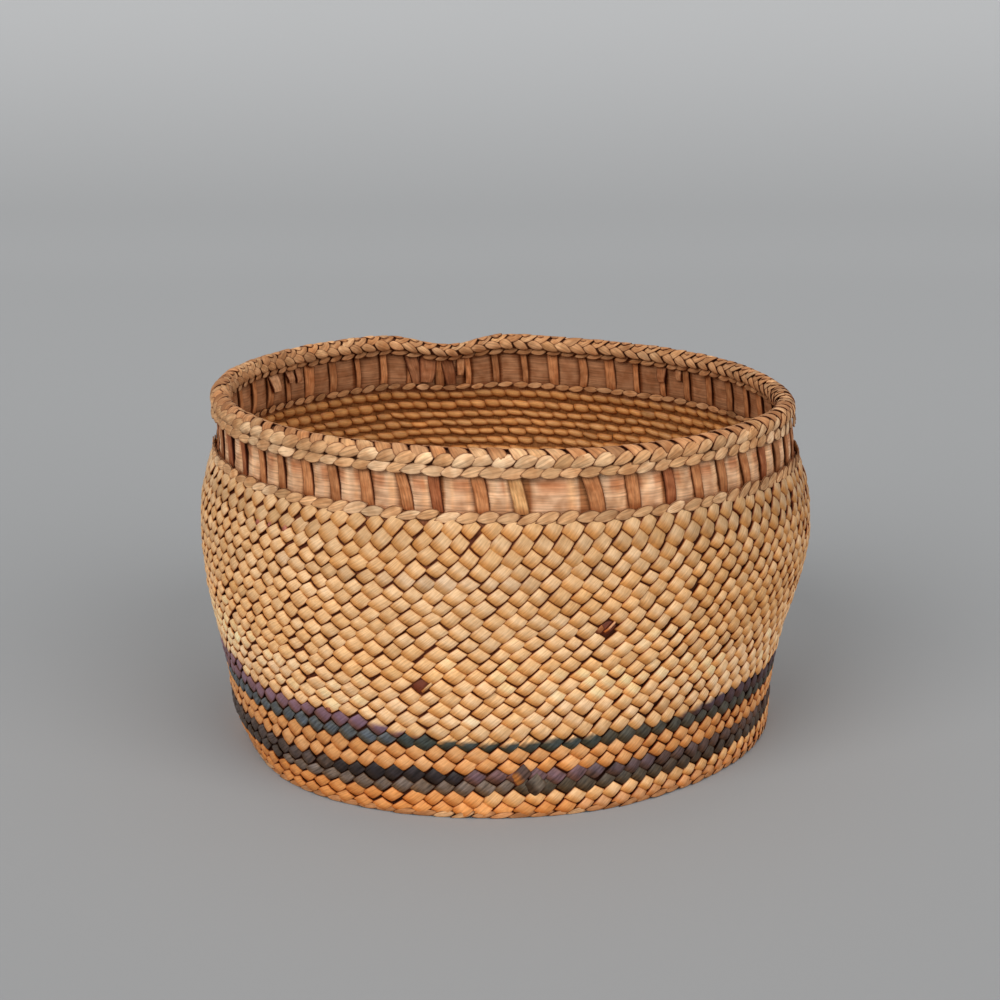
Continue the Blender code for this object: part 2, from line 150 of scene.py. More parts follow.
def pick(piece, test, kind="VERT"):
    # selects the points or faces whose place passes a test, and leaves the piece in edit mode
    bpy.ops.object.mode_set(mode="EDIT")
    bpy.ops.mesh.select_mode(type=kind)
    bpy.ops.mesh.select_all(action="DESELECT")
    bpy.ops.object.mode_set(mode="OBJECT")
    for part in piece.data.vertices if kind == "VERT" else piece.data.polygons:
        part.select = test(part.co if kind == "VERT" else part.center)
    bpy.ops.object.mode_set(mode="EDIT")


def editAll():
    # goes to edit mode with the whole piece selected
    bpy.ops.object.mode_set(mode="EDIT")
    bpy.ops.mesh.select_all(action="SELECT")


def leaveEdit():
    bpy.ops.object.mode_set(mode="OBJECT")


def drawOut(*way):
    bpy.ops.mesh.extrude_region_move(TRANSFORM_OT_translate={"value": way})


def moveBy(*way):
    bpy.ops.transform.translate(value=way)


def resizeBy(*size):
    bpy.ops.transform.resize(value=size, center_override=(0, 0, 0))


def variesFor(count):
    # gives each of a row's copies its own chance share of a size
    return lambda size: chance.normal(0, size, (count, 1))


def evenShares(count):
    return [step / count - 0.5 for step in range(count + 1)]


def modelStrip(columns, rows, thickness, crown, narrow=None, drop=None, size=(1, 1)):
    # a thin strip to be copied, with one plain face below: x runs along it and y across it. Its columns and
    # rows lie at these shares, -0.5 to 0.5; crown and drop tell how far each sinks, narrow a column's width
    grid = {"x_subdivisions": len(columns) - 1, "y_subdivisions": len(rows) - 1}
    bpy.ops.mesh.primitive_grid_add(**grid, size=1, location=(0, 0, -thickness))
    strip = bpy.context.object
    editAll()
    drawOut(0, 0, thickness)
    leaveEdit()
    bpy.ops.object.transform_apply(location=True, rotation=True, scale=True)
    pick(strip, lambda co: co.z < -thickness * 0.9, "FACE")
    bpy.ops.mesh.dissolve_faces()
    leaveEdit()
    for share, place in zip(evenShares(len(rows) - 1), rows):
        pick(strip, lambda co: abs(co.y - share) < 0.001)
        moveBy(0, place - share, -crown(place))
        leaveEdit()
    if drop:
        marks = list(zip(evenShares(len(columns) - 1), columns))
        for share, place in marks:
            pick(strip, lambda co: abs(co.x - share) < 0.001)
            resizeBy(1, narrow(place), 1)
            moveBy(0, 0, -drop(place))
            leaveEdit()
        for share, place in reversed(marks):  # each goes 10 units off, away from those still to be picked
            pick(strip, lambda co: abs(co.x - share) < 0.001)
            moveBy(place + 10 - share, 0, 0)
            leaveEdit()
        editAll()
        moveBy(-10, 0, 0)
        leaveEdit()
    editAll()
    resizeBy(*size, 1)
    leaveEdit()
    return readShape(strip)


def readShape(strip):
    # takes the finished model off the scene as plain arrays, ready to be copied
    mesh = strip.data
    points = np.empty(len(mesh.vertices) * 3)
    mesh.vertices.foreach_get("co", points)
    points = points.reshape(-1, 3)
    highest = {}
    for x, y, z in points:
        key = (round(x, 3), round(y, 3))
        highest[key] = max(z, highest.get(key, z))
    under = np.array([z < highest[(round(x, 3), round(y, 3))] - 0.00001 for x, y, z in points])
    shape = {"points": points, "faces": [list(face.vertices) for face in mesh.polygons], "under": under}
    bpy.data.objects.remove(strip, do_unlink=True)
    return shape


def paintMesh(mesh, tints):
    colour = mesh.color_attributes.new("tint", "FLOAT_COLOR", "POINT")
    rgba = np.concatenate([tints, np.ones((len(tints), 1))], axis=1)
    colour.data.foreach_set("color", np.clip(rgba, 0, 1).ravel())


def layCopies(name, shape, parts, material, nodes):
    # one piece of many copies: each part holds the points, tints and grain of some, by copy and corner
    points, tints, grain = (np.concatenate(part) for part in zip(*parts))
    copies, corners = points.shape[:2]
    loops = np.concatenate([np.array(face) for face in shape["faces"]])
    sizes = np.array([len(face) for face in shape["faces"]])
    allLoops = (loops[None, :] + corners * np.arange(copies)[:, None]).ravel()
    starts = np.concatenate([[0], np.cumsum(np.tile(sizes, copies))[:-1]])
    mesh = bpy.data.meshes.new(name)
    mesh.vertices.add(copies * corners)
    mesh.vertices.foreach_set("co", points.ravel())
    mesh.loops.add(len(allLoops))
    mesh.loops.foreach_set("vertex_index", allLoops.astype(np.int32))
    mesh.polygons.add(len(starts))
    mesh.polygons.foreach_set("loop_start", starts.astype(np.int32))
    mesh.update(calc_edges=True)
    mesh.validate()
    paintMesh(mesh, tints.reshape(-1, 3))
    mesh.uv_layers.new(name="grain").data.foreach_set("uv", grain.reshape(-1, 2)[allLoops].ravel())
    piece = bpy.data.objects.new(name, mesh)
    bpy.context.scene.collection.objects.link(piece)
    finishPiece(piece, material, nodes)


def grainFor(along, across, size, count):
    # each copy takes its own patch of the grain
    return np.stack([along * size[0], across * size[1]], axis=-1)[None] + chance.uniform(0, 40, (count, 1, 2))


smoothAngle = math.radians(42)  # edges sharper than this stay sharp


def finishPiece(piece, material, nodes):
    piece.data.transform(Matrix.Translation((*basket["centre"], 0)))
    piece.data.materials.clear()
    piece.data.materials.append(material)
    bpy.ops.object.select_all(action="DESELECT")
    piece.select_set(True)
    bpy.context.view_layer.objects.active = piece
    bpy.ops.object.shade_smooth_by_angle(angle=smoothAngle)
    bpy.ops.object.select_all(action="DESELECT")
    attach(piece, "root")
    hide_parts(*nodes)
    print("made", piece.name, len(piece.data.polygons), "faces")


def addNode(nodes, kind, inputs=None, **settings):
    # a new node with its settings made and its sockets filled in
    node = nodes.new("ShaderNode" + kind)
    for name, value in settings.items():
        setattr(node, name, value)
    for name, value in (inputs or {}).items():
        node.inputs[name].default_value = value
    return node


def startMaterial(name, look):
    made = bpy.data.materials.new(name)
    made.use_nodes = True
    shader = made.node_tree.nodes["Principled BSDF"]
    shader.inputs["Roughness"].default_value = look["roughness"]
    shader.inputs["Specular IOR Level"].default_value = look["shine"]
    return made, made.node_tree.nodes, made.node_tree.links, shader


def fibreMaterial(name, look):
    # the tint painted on the piece, broken by fine fibres that run along the grain map's first direction
    made, nodes, links, shader = startMaterial(name, look)
    depth = look["fibreDepth"]
    tint = addNode(nodes, "Attribute", attribute_name="tint")
    place = addNode(nodes, "UVMap", uv_map="grain")
    fine = addNode(nodes, "Mapping", {"Scale": (look["alongFibre"], look["acrossFibre"], 1)})
    fibres = addNode(nodes, "TexNoise", {"Scale": 1, "Detail": 3, "Roughness": 0.6})
    blotch = addNode(nodes, "TexNoise", {"Scale": look["blotchScale"], "Detail": 2})
    fibreRange = {"From Min": 0.3, "From Max": 0.7, "To Min": 1 - depth, "To Max": 1 + depth * 0.6}
    fibreShade = addNode(nodes, "MapRange", fibreRange)
    blotchInks = {"A": (*look["blotchDark"], 1), "B": (*look["blotchLight"], 1)}
    blotchMix = addNode(nodes, "Mix", blotchInks, data_type="RGBA")
    spread = addNode(nodes, "MapRange", {"From Min": 0.35, "From Max": 0.65})
    times = addNode(nodes, "VectorMath", operation="MULTIPLY")
    scaled = addNode(nodes, "VectorMath", operation="SCALE")
    bump = addNode(nodes, "Bump", {"Strength": look["bump"], "Distance": 0.0001})
    for source, output, target, entry in (
        (place, "UV", fine, "Vector"),
        (fine, "Vector", fibres, "Vector"),
        (place, "UV", blotch, "Vector"),
        (fibres, "Fac", fibreShade, "Value"),
        (blotch, "Fac", spread, "Value"),
        (spread, "Result", blotchMix, "Factor"),
        (tint, "Color", times, 0),
        (blotchMix, "Result", times, 1),
        (times, "Vector", scaled, 0),
        (fibreShade, "Result", scaled, "Scale"),
        (scaled, "Vector", shader, "Base Color"),
        (fibres, "Fac", bump, "Height"),
        (bump, "Normal", shader, "Normal"),
    ):
        links.new(source.outputs[output], target.inputs[entry])
    return made


grassLook = {
    "roughness": 0.48,
    "shine": 0.20,
    "alongFibre": 0.40,
    "acrossFibre": 3.6,
    "fibreDepth": 0.26,
    "blotchScale": 0.55,
    "blotchDark": (0.90, 0.84, 0.76),
    "blotchLight": (1.06, 1.06, 1.06),
    "bump": 0.5,
}
barkLook = {
    "roughness": 0.70,
    "shine": 0.12,
    "alongFibre": 0.30,
    "acrossFibre": 3.4,
    "fibreDepth": 0.38,
    "blotchScale": 0.50,
    "blotchDark": (0.78, 0.66, 0.56),
    "blotchLight": (1.12, 1.12, 1.10),
    "bump": 0.9,
}
dyedLook = dict(grassLook, acrossFibre=2.6, fibreDepth=0.66, roughness=0.46, shine=0.22)
grass = fibreMaterial("bear_grass", grassLook)
dyedGrass = fibreMaterial("dyed_grass", dyedLook)
bark = fibreMaterial("cedar_bark_strip", barkLook)

# The weave of the wall: every stitch sits on a lattice that climbs slowly to the left round the basket
weave = {
    "stitchesPerTurn": 105.55,
    "brickShift": 0.45,
    "courses": 25,
    "footSpread": 0.09,  # the stitches are a little wider at the front of the foot
    "endSlant": 0.30,  # how far a stitch's ends turn from the lattice towards level
    "widthVaries": 0.05,
    "lengthVaries": 0.05,
    "placeVaries": 0.028,
    "wander": 0.10,
    "liftVaries": 0.00007,
    "tipVaries": 0.00008,
    "leanVaries": 0.035,
    "lean": 0.075,  # how far a stitch leans from the lattice, and how much more on the left
    "leanLeft": 0.125,
    "slimRight": 0.04,  # how much slimmer the stitches are on the right
    "openCorners": 0.24,  # how much a stitch's ends narrow round the sides
    "lowestRow": 0.0009,
    "rowHeight": 0.0021,
    "foldedRow": 23,  # its stitches catch the light along a fold
    "wornDepth": 0.00045,
    # where the rows run low: degrees round, width in radians, height, spread and drop
    "sags": ((60, 0.50, 0.0155, 0.0080, 0.0011), (-35, 0.30, 0.0075, 0.0045, 0.0009)),
}
stitchLook = {
    "places": [-0.5, -0.40, -0.31, -0.14, 0.12, 0.44, 0.5],
    "rows": [-0.5, -0.43, 0.0, 0.43, 0.5],
    "length": 1.15,
    "width": 0.965,
    "thickness": 0.00024,
    "leftDive": 0.00095,
    "rightDive": 0.00022,
    "crown": 0.00028,
    "leftNarrow": 0.20,
    "rightNarrow": 0.05,
    "bow": 0.03,
    "grain": (2.9, 2.5),
    "oddGrain": (2.7, 2.5),
}
levelMarks = np.array([-1.0, 0.0, 1.0, 7.0, 8.0, 23.0, 24.0, 25.0, 26.0])
heightMarks = np.array([0.00015, 0.00040, 0.0023, 0.01505, 0.01745, 0.04895, 0.0515, 0.0540, 0.0561])


def modelStitch():
    # its length and width are shares of its cell on the lattice; the thickness is in metres
    look = stitchLook

    def drop(share):
        at = 2 * share
        return look["leftDive"] * abs(at) ** 3 if at < 0 else look["rightDive"] * at**5.0

    def narrow(share):
        at = 2 * share
        return 1 - look["leftNarrow"] * abs(at) ** 4 if at < 0 else 1 - look["rightNarrow"] * at**8

    crown = lambda share: look["crown"] * abs(2 * share) ** 4.5
    size = look["length"], look["width"]
    return modelStrip(look["places"], look["rows"], look["thickness"], crown, narrow, drop, size)


def turnOf(stitches):
    return 2 * np.pi * stitches / weave["stitchesPerTurn"]


def wander(turn, levels, seed):
    # how far the weave strays from an even lattice, from -1 to 1
    waves = ((5, 0.6), (13, -1.1), (23, 0.9), (37, -1.6))
    return sum(np.sin(count * turn + rise * levels + seed * count) for count, rise in waves) / 2.4


def wallPoint(stitches, levels, lift, raised=0):
    # a point of the wall by its place on the lattice: stitches round from the front, courses up. The courses
    # climb one course a turn, and less and less in the three at the foot and the three at the shoulder
    fade = smoothStep(levels / 3) * smoothStep((weave["courses"] - levels) / 3)
    turn = turnOf(stitches)
    climbed = levels + (raised + weave["wander"] * wander(turn, levels, 1.3) - turn / (2 * np.pi)) * fade
    height = np.interp(climbed, levelMarks, heightMarks)
    turn = turn + 0.7 * weave["wander"] * wander(turn, levels, 2.9) * 2 * np.pi / weave["stitchesPerTurn"]
    theta = turn + weave["footSpread"] * np.clip(1 - height / basket["bellyHeight"], 0, 1) * np.sin(turn)
    for place, width, middle, spread, drop in weave["sags"]:
        away = (awayFrom(theta, place) / width) ** 2 + ((height - middle) / spread) ** 2
        height = height - drop * np.exp(-away)
    height = np.maximum(height, 0.00025)
    return settled(theta, wallRadius(height) + lift, height)


def rowStitches(row):
    # places of a row's stitches, in stitches round from the front
    half = weave["stitchesPerTurn"] / 2
    shift = -weave["brickShift"] * row
    first = math.ceil(-half - shift)
    count = math.ceil(half - shift) - first
    if 2 < row < weave["courses"] - 3:
        return np.arange(first, first + count) + shift
    # the level rows at the foot and the shoulder close on themselves
    return (np.arange(first, first + count) + shift) * weave["stitchesPerTurn"] / count


goldInk = ink(238, 190, 136)
lowGoldInk = goldInk * np.array([1.0, 1.035, 1.12])
paleInk = goldInk * np.array([1.0, 0.92, 0.82])
orangeInk = ink(224, 150, 84)
middleInk = ink(228, 164, 104)
greenInk = ink(68, 74, 70)
fadedGreenInk = ink(80, 76, 66)
purpleInk = ink(130, 98, 108)
darkPurpleInk = ink(80, 60, 66)
anyTurn = -400
# the inks of a row, each from its turn in degrees on; the other rows are gold all round
rowInks = {
    0: ((anyTurn, orangeInk), (12, ink(216, 152, 98))),
    1: ((anyTurn, paleInk), (-150, orangeInk), (-3.7, paleInk)),
    2: ((anyTurn, ink(80, 68, 60)), (-45, ink(118, 100, 86)), (2, ink(88, 76, 62)), (30, ink(80, 66, 54))),
    3: (
        (anyTurn, ink(84, 70, 64)),
        (-32, ink(50, 42, 42)),
        (-7.9, ink(118, 88, 88)),
        (14, ink(98, 76, 74)),
        (30, ink(92, 70, 62)),
    ),
    **dict.fromkeys((4, 5), ((anyTurn, middleInk),)),
    6: ((anyTurn, ink(94, 98, 100)), (-20, greenInk), (14, fadedGreenInk)),
    7: ((anyTurn, purpleInk), (-22.8, goldInk)),
    8: ((anyTurn, lowGoldInk), (-135, purpleInk), (-57, lowGoldInk)),
    **dict.fromkeys((9, 10, 11), ((anyTurn, lowGoldInk),)),
    20: ((anyTurn, goldInk), (-42, ink(230, 188, 142)), (9, goldInk)),
}
backInks = {6: fadedGreenInk, 7: darkPurpleInk}  # what these rows turn into behind the left side
rowTone = {16: 0.96, 23: 0.92, 24: 1.06}
# painted shade by height for the rows from row 8 up: heights in metres and what the ink is multiplied by there,
# lighter low down and darker towards the shoulder
wallPaintedShade = ((0.0175, 0.0245, 0.0310, 0.0375, 0.0445, 0.0500), (1.12, 1.19, 1.04, 0.95, 0.88, 0.77))


def stitchInks(row, degrees):
    # the ink of each stitch of a row by its turn from the front, its lower part's ink and where that starts
    turns, inks = zip(*rowInks.get(row, ((anyTurn, goldInk * rowTone.get(row, 1.0)),)))
    main = np.array(inks)[np.searchsorted(turns, degrees) - 1]
    if row in backInks:
        main = main + (backInks[row] - main) * smoothStep((-degrees - 100) / 80)[:, None]
    edge = main.copy()
    start = np.full(len(degrees), 0.1)
    if row == 6:  # the green runs up into the gold at the front
        centre = (degrees > -10.5) & (degrees < 16)
        main[centre], edge[centre] = goldInk, greenInk
        start = np.where(degrees > 8, -0.75, -0.40)
    if row == 7:  # purple fades out left of the front, and dark purple rises to the right
        dark = degrees > 30
        edge[(degrees >= -22.8) & (degrees < -12.2)] = purpleInk
        edge[dark] = darkPurpleInk
        rising = np.maximum(0.5 - (degrees - 30) * 0.09, -1.5)
        start = np.where(dark, rising, -0.5 + (degrees + 22.8) * 0.11)
    return main, edge, start


def drift(theta, height, seed):
    # a slow change over the wall, from -1 to 1
    return (
        np.sin(2 * theta + seed)
        + np.sin(5 * theta - 90 * height + 2 * seed)
        + np.sin(11 * theta + 170 * height + 3 * seed)
        + np.sin(3 * theta + 260 * height - seed)
    ) / 4


def castStitches(row, theta):
    # what each stitch's ink is multiplied by: its own chance brightness and warmth, browner up on the right,
    # and painted shade that leaves the wall paler low down and darker up at the shoulder and on the right
    height = weave["lowestRow"] + weave["rowHeight"] * row
    count, right = len(theta), np.sin(theta)
    rowLight, rowWarm = (np.sin(step * theta + chance.uniform(0, 6.3)) for step in (4, 3))
    sideways = smoothStep((right - 0.48) / 0.24) * smoothStep((height - 0.02) / 0.01)
    # painted shade: lighter low down and darker towards the shoulder, darker at the top on the right and a
    # little on the right side, a little lighter high on the left
    paintedShade = np.interp(height, *wallPaintedShade) if row > 7 else 1
    paintedShade = paintedShade * (1 - 0.14 * smoothStep(right / 0.65) * smoothStep((height - 0.040) / 0.008))
    paintedShade = paintedShade * (1 + 0.06 * smoothStep((-right - 0.3) / 0.35) * smoothStep((height - 0.020) / 0.006))
    paintedShade = paintedShade * (1 - 0.045 * sideways)
    light = 1 + 0.05 * drift(theta, height, 1.0) + 0.05 * rowLight + chance.normal(0, 0.06, count)
    warm = 0.05 * drift(theta, height, 4.0) + 0.04 * rowWarm + chance.normal(0, 0.04, count)
    warm = warm + (1 - light) * 0.35 + 0.035 * sideways
    return paintedShade[:, None] * np.stack([light, light * (1 - warm * 0.6), light * (1 - warm * 1.7)], axis=1)


def layStitches(name, rows, material, node):
    look, shift = stitchLook, weave["brickShift"]
    x, y, z = stitchShape["points"].T
    shareX, shareY = x / look["length"], y / look["width"]
    parts = []
    for row in rows:
        middles = rowStitches(row)
        count = len(middles)
        varies = variesFor(count)
        turn = turnOf(middles)
        spread = weave["footSpread"] * np.clip(1 - row * weave["rowHeight"] / basket["bellyHeight"], 0, 1)
        theta = turn + spread * np.sin(turn)
        right = np.sin(theta)[:, None]
        aside = smoothStep((np.abs(theta) - 0.35) / 0.4)[:, None]
        along = x * (1 + varies(weave["lengthVaries"]))
        bowed = look["bow"] * (1 - 4 * shareX**2) * np.clip(shareY + 0.1, 0, 1) * 1.7
        corners = 1 - weave["openCorners"] * aside * np.abs(2 * shareX) ** 5
        slimmer = 1 - weave["slimRight"] * smoothStep(right / 0.6)
        across = (y + bowed) * corners * slimmer * (1 + varies(weave["widthVaries"]))
        lean = weave["lean"] + weave["leanLeft"] * smoothStep(-right / 0.6) + varies(weave["leanVaries"])
        across = across + lean * along
        along = along + weave["endSlant"] * across
        stitches = middles[:, None] + (1 - shift) * along + shift * across + varies(weave["placeVaries"])
        levels = row + 0.5 + along - across + varies(weave["placeVaries"])
        lift = z + varies(weave["liftVaries"]) + varies(weave["tipVaries"]) * across * 2
        worn = [np.argmin(np.abs(middles - place)) for wornRow, place in wornStitches if wornRow == row]
        lift[worn] -= weave["wornDepth"]
        points = wallPoint(stitches, levels, lift)
        main, edge, start = stitchInks(row, np.degrees(theta))
        lower = smoothStep((shareY - shareX - start[:, None]) / 0.3)[:, :, None]
        tint = main[:, None, :] * (1 - lower) + edge[:, None, :] * lower
        tint = tint * castStitches(row, theta)[:, None, :]
        if row == weave["foldedRow"]:
            # a painted highlight along a fold of each stitch in this row, from a little left of the front round
            # to the right
            fold = bell((shareY - shareX - 0.34) / 0.07)[:, None]
            tint = tint * (1 + 0.35 * fold * smoothStep((theta + 0.3) / 0.3)[:, None, None])
        tint[worn] = wornInk
        tint = tint * stitchShade(shareX, shareY)
        parts.append((points, tint, grainFor(shareX, shareY, look["grain"], count)))
    layCopies(name, stitchShape, parts, material, [node])


# The stitches whose grass has worn off, by row and stitches round from the front
wornStitches = [(11, -3.95), (16, 4.80)]
wornInk = ink(124, 66, 46)
# Odd stitches by their place on the lattice: row, stitches round from the front, size along and across,
# lift, and the inks of the lower left end and of the rest
wornOver = [
    (11.0, -3.60, 0.95, 0.20, 0.00010, ink(214, 160, 104), ink(238, 196, 142)),
    (16.1, 4.95, 0.85, 0.20, 0.00015, ink(200, 132, 84), ink(226, 170, 124)),
    (15.9, 4.45, 0.60, 0.45, -0.00015, ink(120, 66, 40), ink(176, 112, 70)),
    (22.45, -14.35, 0.46, 0.40, -0.00003, ink(150, 84, 66), ink(176, 108, 88)),
    (22.5, -13.35, 0.42, 0.34, -0.00003, ink(150, 84, 66), ink(186, 124, 104)),
    (22.5, -12.20, 0.46, 0.32, -0.00003, ink(156, 90, 70), ink(188, 120, 100)),
    (7.6, -8.70, 0.42, 0.42, 0.00002, ink(132, 72, 52), ink(160, 96, 72)),
]
splices = [
    (3.2, 0.85, 1.25, 1.15, 0.00036, ink(196, 138, 84), ink(96, 74, 66)),
    (2.3, 1.60, 1.20, 1.10, 0.00034, ink(78, 66, 58), ink(112, 98, 84)),
]


def layOddStitches(name, odd, material, node):
    x, y, z = stitchShape["points"].T
    shareX, shareY = x / stitchLook["length"], y / stitchLook["width"]
    row, place, long, wide, lift = (np.array([stitch[part] for stitch in odd])[:, None] for part in range(5))
    start, rest = (np.array([stitch[part] for stitch in odd])[:, None, :] for part in (5, 6))
    along, across = x * long, y * wide
    stitches = place + (1 - weave["brickShift"]) * along + weave["brickShift"] * across
    points = wallPoint(stitches, row + 0.5 + along - across, z + lift)
    share = smoothStep((shareX + 0.1) / 0.2)[:, None]
    shade = stitchShade(shareX, shareY)
    tints = (start * (1 - share) + rest * share) * np.maximum(shade, 0.35 * shade[:, :1])
    parts = [(points, tints, grainFor(x, y, stitchLook["oddGrain"], len(odd)))]
    layCopies(name, stitchShape, parts, material, [node])


def stitchShade(shareX, shareY):
    # painted light and shade on each stitch: a painted highlight over the warp, painted shade that turns the
    # lower left orange, brown where the strip dives, darker at its right end and dark at its sides, and the
    # underside painted darkest
    along, across = shareX[:, None], shareY[:, None]
    shade = 1 + bell((along - 0.06) / 0.13) * np.array([0.04, 0.09, 0.20])
    darker = (
        ((0.20 - along) / 0.48, (0.84, 0.60, 0.33)),
        ((-along - 0.335) / 0.06, (0.26, 0.08, 0.02)),
        ((along - 0.455) / 0.045, (0.70, 0.50, 0.32)),
        ((np.abs(across) - 0.425) / 0.075, (0.34, 0.12, 0.035)),
    )
    for reach, left in darker:  # each leaves this much red, green and blue where it reaches
        shade = shade * (1 - smoothStep(reach) * (1 - np.array(left)))
    return np.where(stitchShape["under"][:, None], shade * np.array([0.24, 0.09, 0.035]), shade)


stitchShape = modelStitch()
print("stitch shape", len(stitchShape["points"]), "points", len(stitchShape["faces"]), "faces")
layStitches("stitches_lower_gold", range(0, 2), grass, "lower_gold_courses")
layStitches("stitches_lower_dark", range(2, 4), dyedGrass, "lower_dark_courses")
layStitches("stitches_middle_gold", range(4, 6), grass, "middle_gold_courses")
layStitches("stitches_green", range(6, 7), dyedGrass, "green_course")
layStitches("stitches_purple", range(7, 8), grass, "purple_course")
layStitches("stitches_main_gold", range(8, 23), grass, "main_gold_courses")
layStitches("stitches_shoulder", range(23, 25), grass, "shoulder_courses")
layOddStitches("worn_places", wornOver, bark, "warps")
layOddStitches("splice_stitches", splices, dyedGrass, "lower_dark_courses")


def turnRings(name, rings, corners):
    # a closed ring of bark: a circle drawn out through each (radius, height), back to where it began
    rings = [tuple(map(float, ring)) for ring in rings]
    radius, height = rings[0]
    bpy.ops.mesh.primitive_circle_add(vertices=corners, radius=radius, location=(0, 0, height))
    piece = bpy.context.object
    piece.name = name
    piece.data.name = name
    bpy.ops.object.transform_apply(location=True, rotation=True, scale=True)
    editAll()
    for before, after in zip(rings, rings[1:] + rings[:1]):
        drawOut(0, 0, after[1] - before[1])
        grow = after[0] / before[0]
        resizeBy(grow, grow, 1)
    bpy.ops.mesh.select_all(action="SELECT")
    bpy.ops.mesh.remove_doubles(threshold=0.00001)
    bpy.ops.mesh.normals_make_consistent(inside=False)
    leaveEdit()
    return piece


def roundPlaces(piece):
    # each point of a piece as its turn from the front, radius and height
    points = np.empty(len(piece.data.vertices) * 3)
    piece.data.vertices.foreach_get("co", points)
    x, y, height = points.reshape(-1, 3).T
    return np.arctan2(x, -y), np.hypot(x, y), height


def dressRings(piece, points, tints, along, across, material, node):
    piece.data.vertices.foreach_set("co", np.ascontiguousarray(points).ravel())
    piece.data.update()
    paintMesh(piece.data, tints)
    mapGrain(piece, along, across)
    finishPiece(piece, material, [node])


def mapGrain(piece, along, across):
    # lays the grain map from two numbers a point, millimetres or degrees, and mends the step where a turn ends
    loops = np.empty(len(piece.data.loops), dtype=np.int32)
    piece.data.loops.foreach_get("vertex_index", loops)
    starts = np.empty(len(piece.data.polygons), dtype=np.int32)
    piece.data.polygons.foreach_get("loop_start", starts)
    owner = np.searchsorted(starts, np.arange(len(loops)), side="right") - 1
    longWay, wideWay = along[loops], across[loops]
    for values in (longWay, wideWay):
        highest = np.maximum.reduceat(values, starts)[owner]
        values += np.where((highest - values > 200) & (np.abs(highest) < 400), 360.0, 0)
    while piece.data.uv_layers:
        piece.data.uv_layers.remove(piece.data.uv_layers[0])
    layer = piece.data.uv_layers.new(name="grain")
    layer.data.foreach_set("uv", np.stack([longWay, wideWay], axis=1).ravel())


# The bark warps: the wall seen between the stitches, its bark darkened as painted shade in the gaps, and the
# flange that they make in the base
warpLook = {
    "outerDepth": 0.00072,
    "innerDepth": 0.0021,
    "flangeInner": 0.0336,
    "low": 0.0012,
    "high": 0.0017,
    "top": 0.0550,
    "levels": 19,
    "corners": 212,
    "ribs": 106,
    "ink": ink(108, 55, 33),
    "insideInk": ink(142, 92, 50),
    "topInk": ink(168, 110, 72),
}


def buildWarpWall():
    look = warpLook
    levels = np.linspace(look["low"], look["top"], look["levels"])
    outside = [(wallRadius(level) - look["outerDepth"], level) for level in levels]
    inside = [(wallRadius(level) - look["innerDepth"], max(level, look["high"])) for level in levels]
    rings = outside + inside[::-1] + [(look["flangeInner"], look[edge]) for edge in ("high", "low")]
    wall = turnRings("warp_wall", rings, look["corners"])
    theta, radius, height = roundPlaces(wall)
    # painted shade in the gaps: each warp lighter in its middle and darker between, the wall darker on the
    # right; it is also much darker low down
    ribs = 0.88 + 0.12 * np.cos(theta * look["ribs"])
    tints = look["ink"] * (ribs * (1 - 0.5 * smoothStep((np.sin(theta) + 0.1) / 0.5)))[:, None]
    tints = tints * (1 - 0.6 * smoothStep((0.0190 - height) / 0.0015))[:, None]
    within = radius < wallRadius(height) - 0.0014
    tints[within] = look["insideInk"]
    tints[height > 0.0545] = look["topInk"]
    points = settled(theta, radius, height)
    dressRings(wall, points, tints, height * 1000, np.degrees(theta), bark, "warps")


buildWarpWall()

# The stiff weft inside the warps, seen as rows of small beads
beadLook = {
    "columns": 5,
    "rows": 4,
    "thickness": 0.00045,
    "depth": 0.0029,  # from the stitches' crest in to the beads' crest
    "length": 1.04,
    "height": 0.76,
    "endDrop": 0.00030,
    "sideDrop": 0.00050,
    "slant": 0.22,
    "grain": (3.4, 2.0),
    "sizeVaries": 0.05,
    "placeVaries": 0.03,
    "liftVaries": 0.00005,
    "ink": ink(217, 158, 97),
    # what the painted shade leaves of red, green and blue at a bead's ends and sides
    "dark": np.array([0.60, 0.42, 0.26]),
}


def modelBead(look):
    return modelStrip(
        evenShares(look["columns"]),
        evenShares(look["rows"]),
        look["thickness"],
        lambda share: look["sideDrop"] * abs(2 * share) ** 2.2,
        lambda share: 1 - 0.30 * abs(2 * share) ** 3,
        lambda share: look["endDrop"] * abs(2 * share) ** 2.4,
    )


beadShape = modelBead(beadLook)


def beadTints(look, cast):
    # painted shade: each bead darker and browner towards its ends and sides, and darker still underneath
    x, y = beadShape["points"].T[:2]
    edge = np.clip(np.abs(2 * x) ** 4 + np.abs(2 * y) ** 3 * 1.2, 0, 1)[:, None]
    shade = 1 - edge * (1 - look["dark"])
    shade = np.where(beadShape["under"][:, None], shade * 0.4, shade)
    return look["ink"] * cast[:, None, :] * shade


def castFor(theta, height, count, light=0.07, warmth=0.04):
    bright = 1 + 0.06 * drift(theta, height, 1.7) + chance.normal(0, light, count)
    warm = chance.normal(0, warmth, count)
    return np.stack([bright, bright * (1 - warm * 0.6), bright * (1 - warm * 1.6)], axis=1)


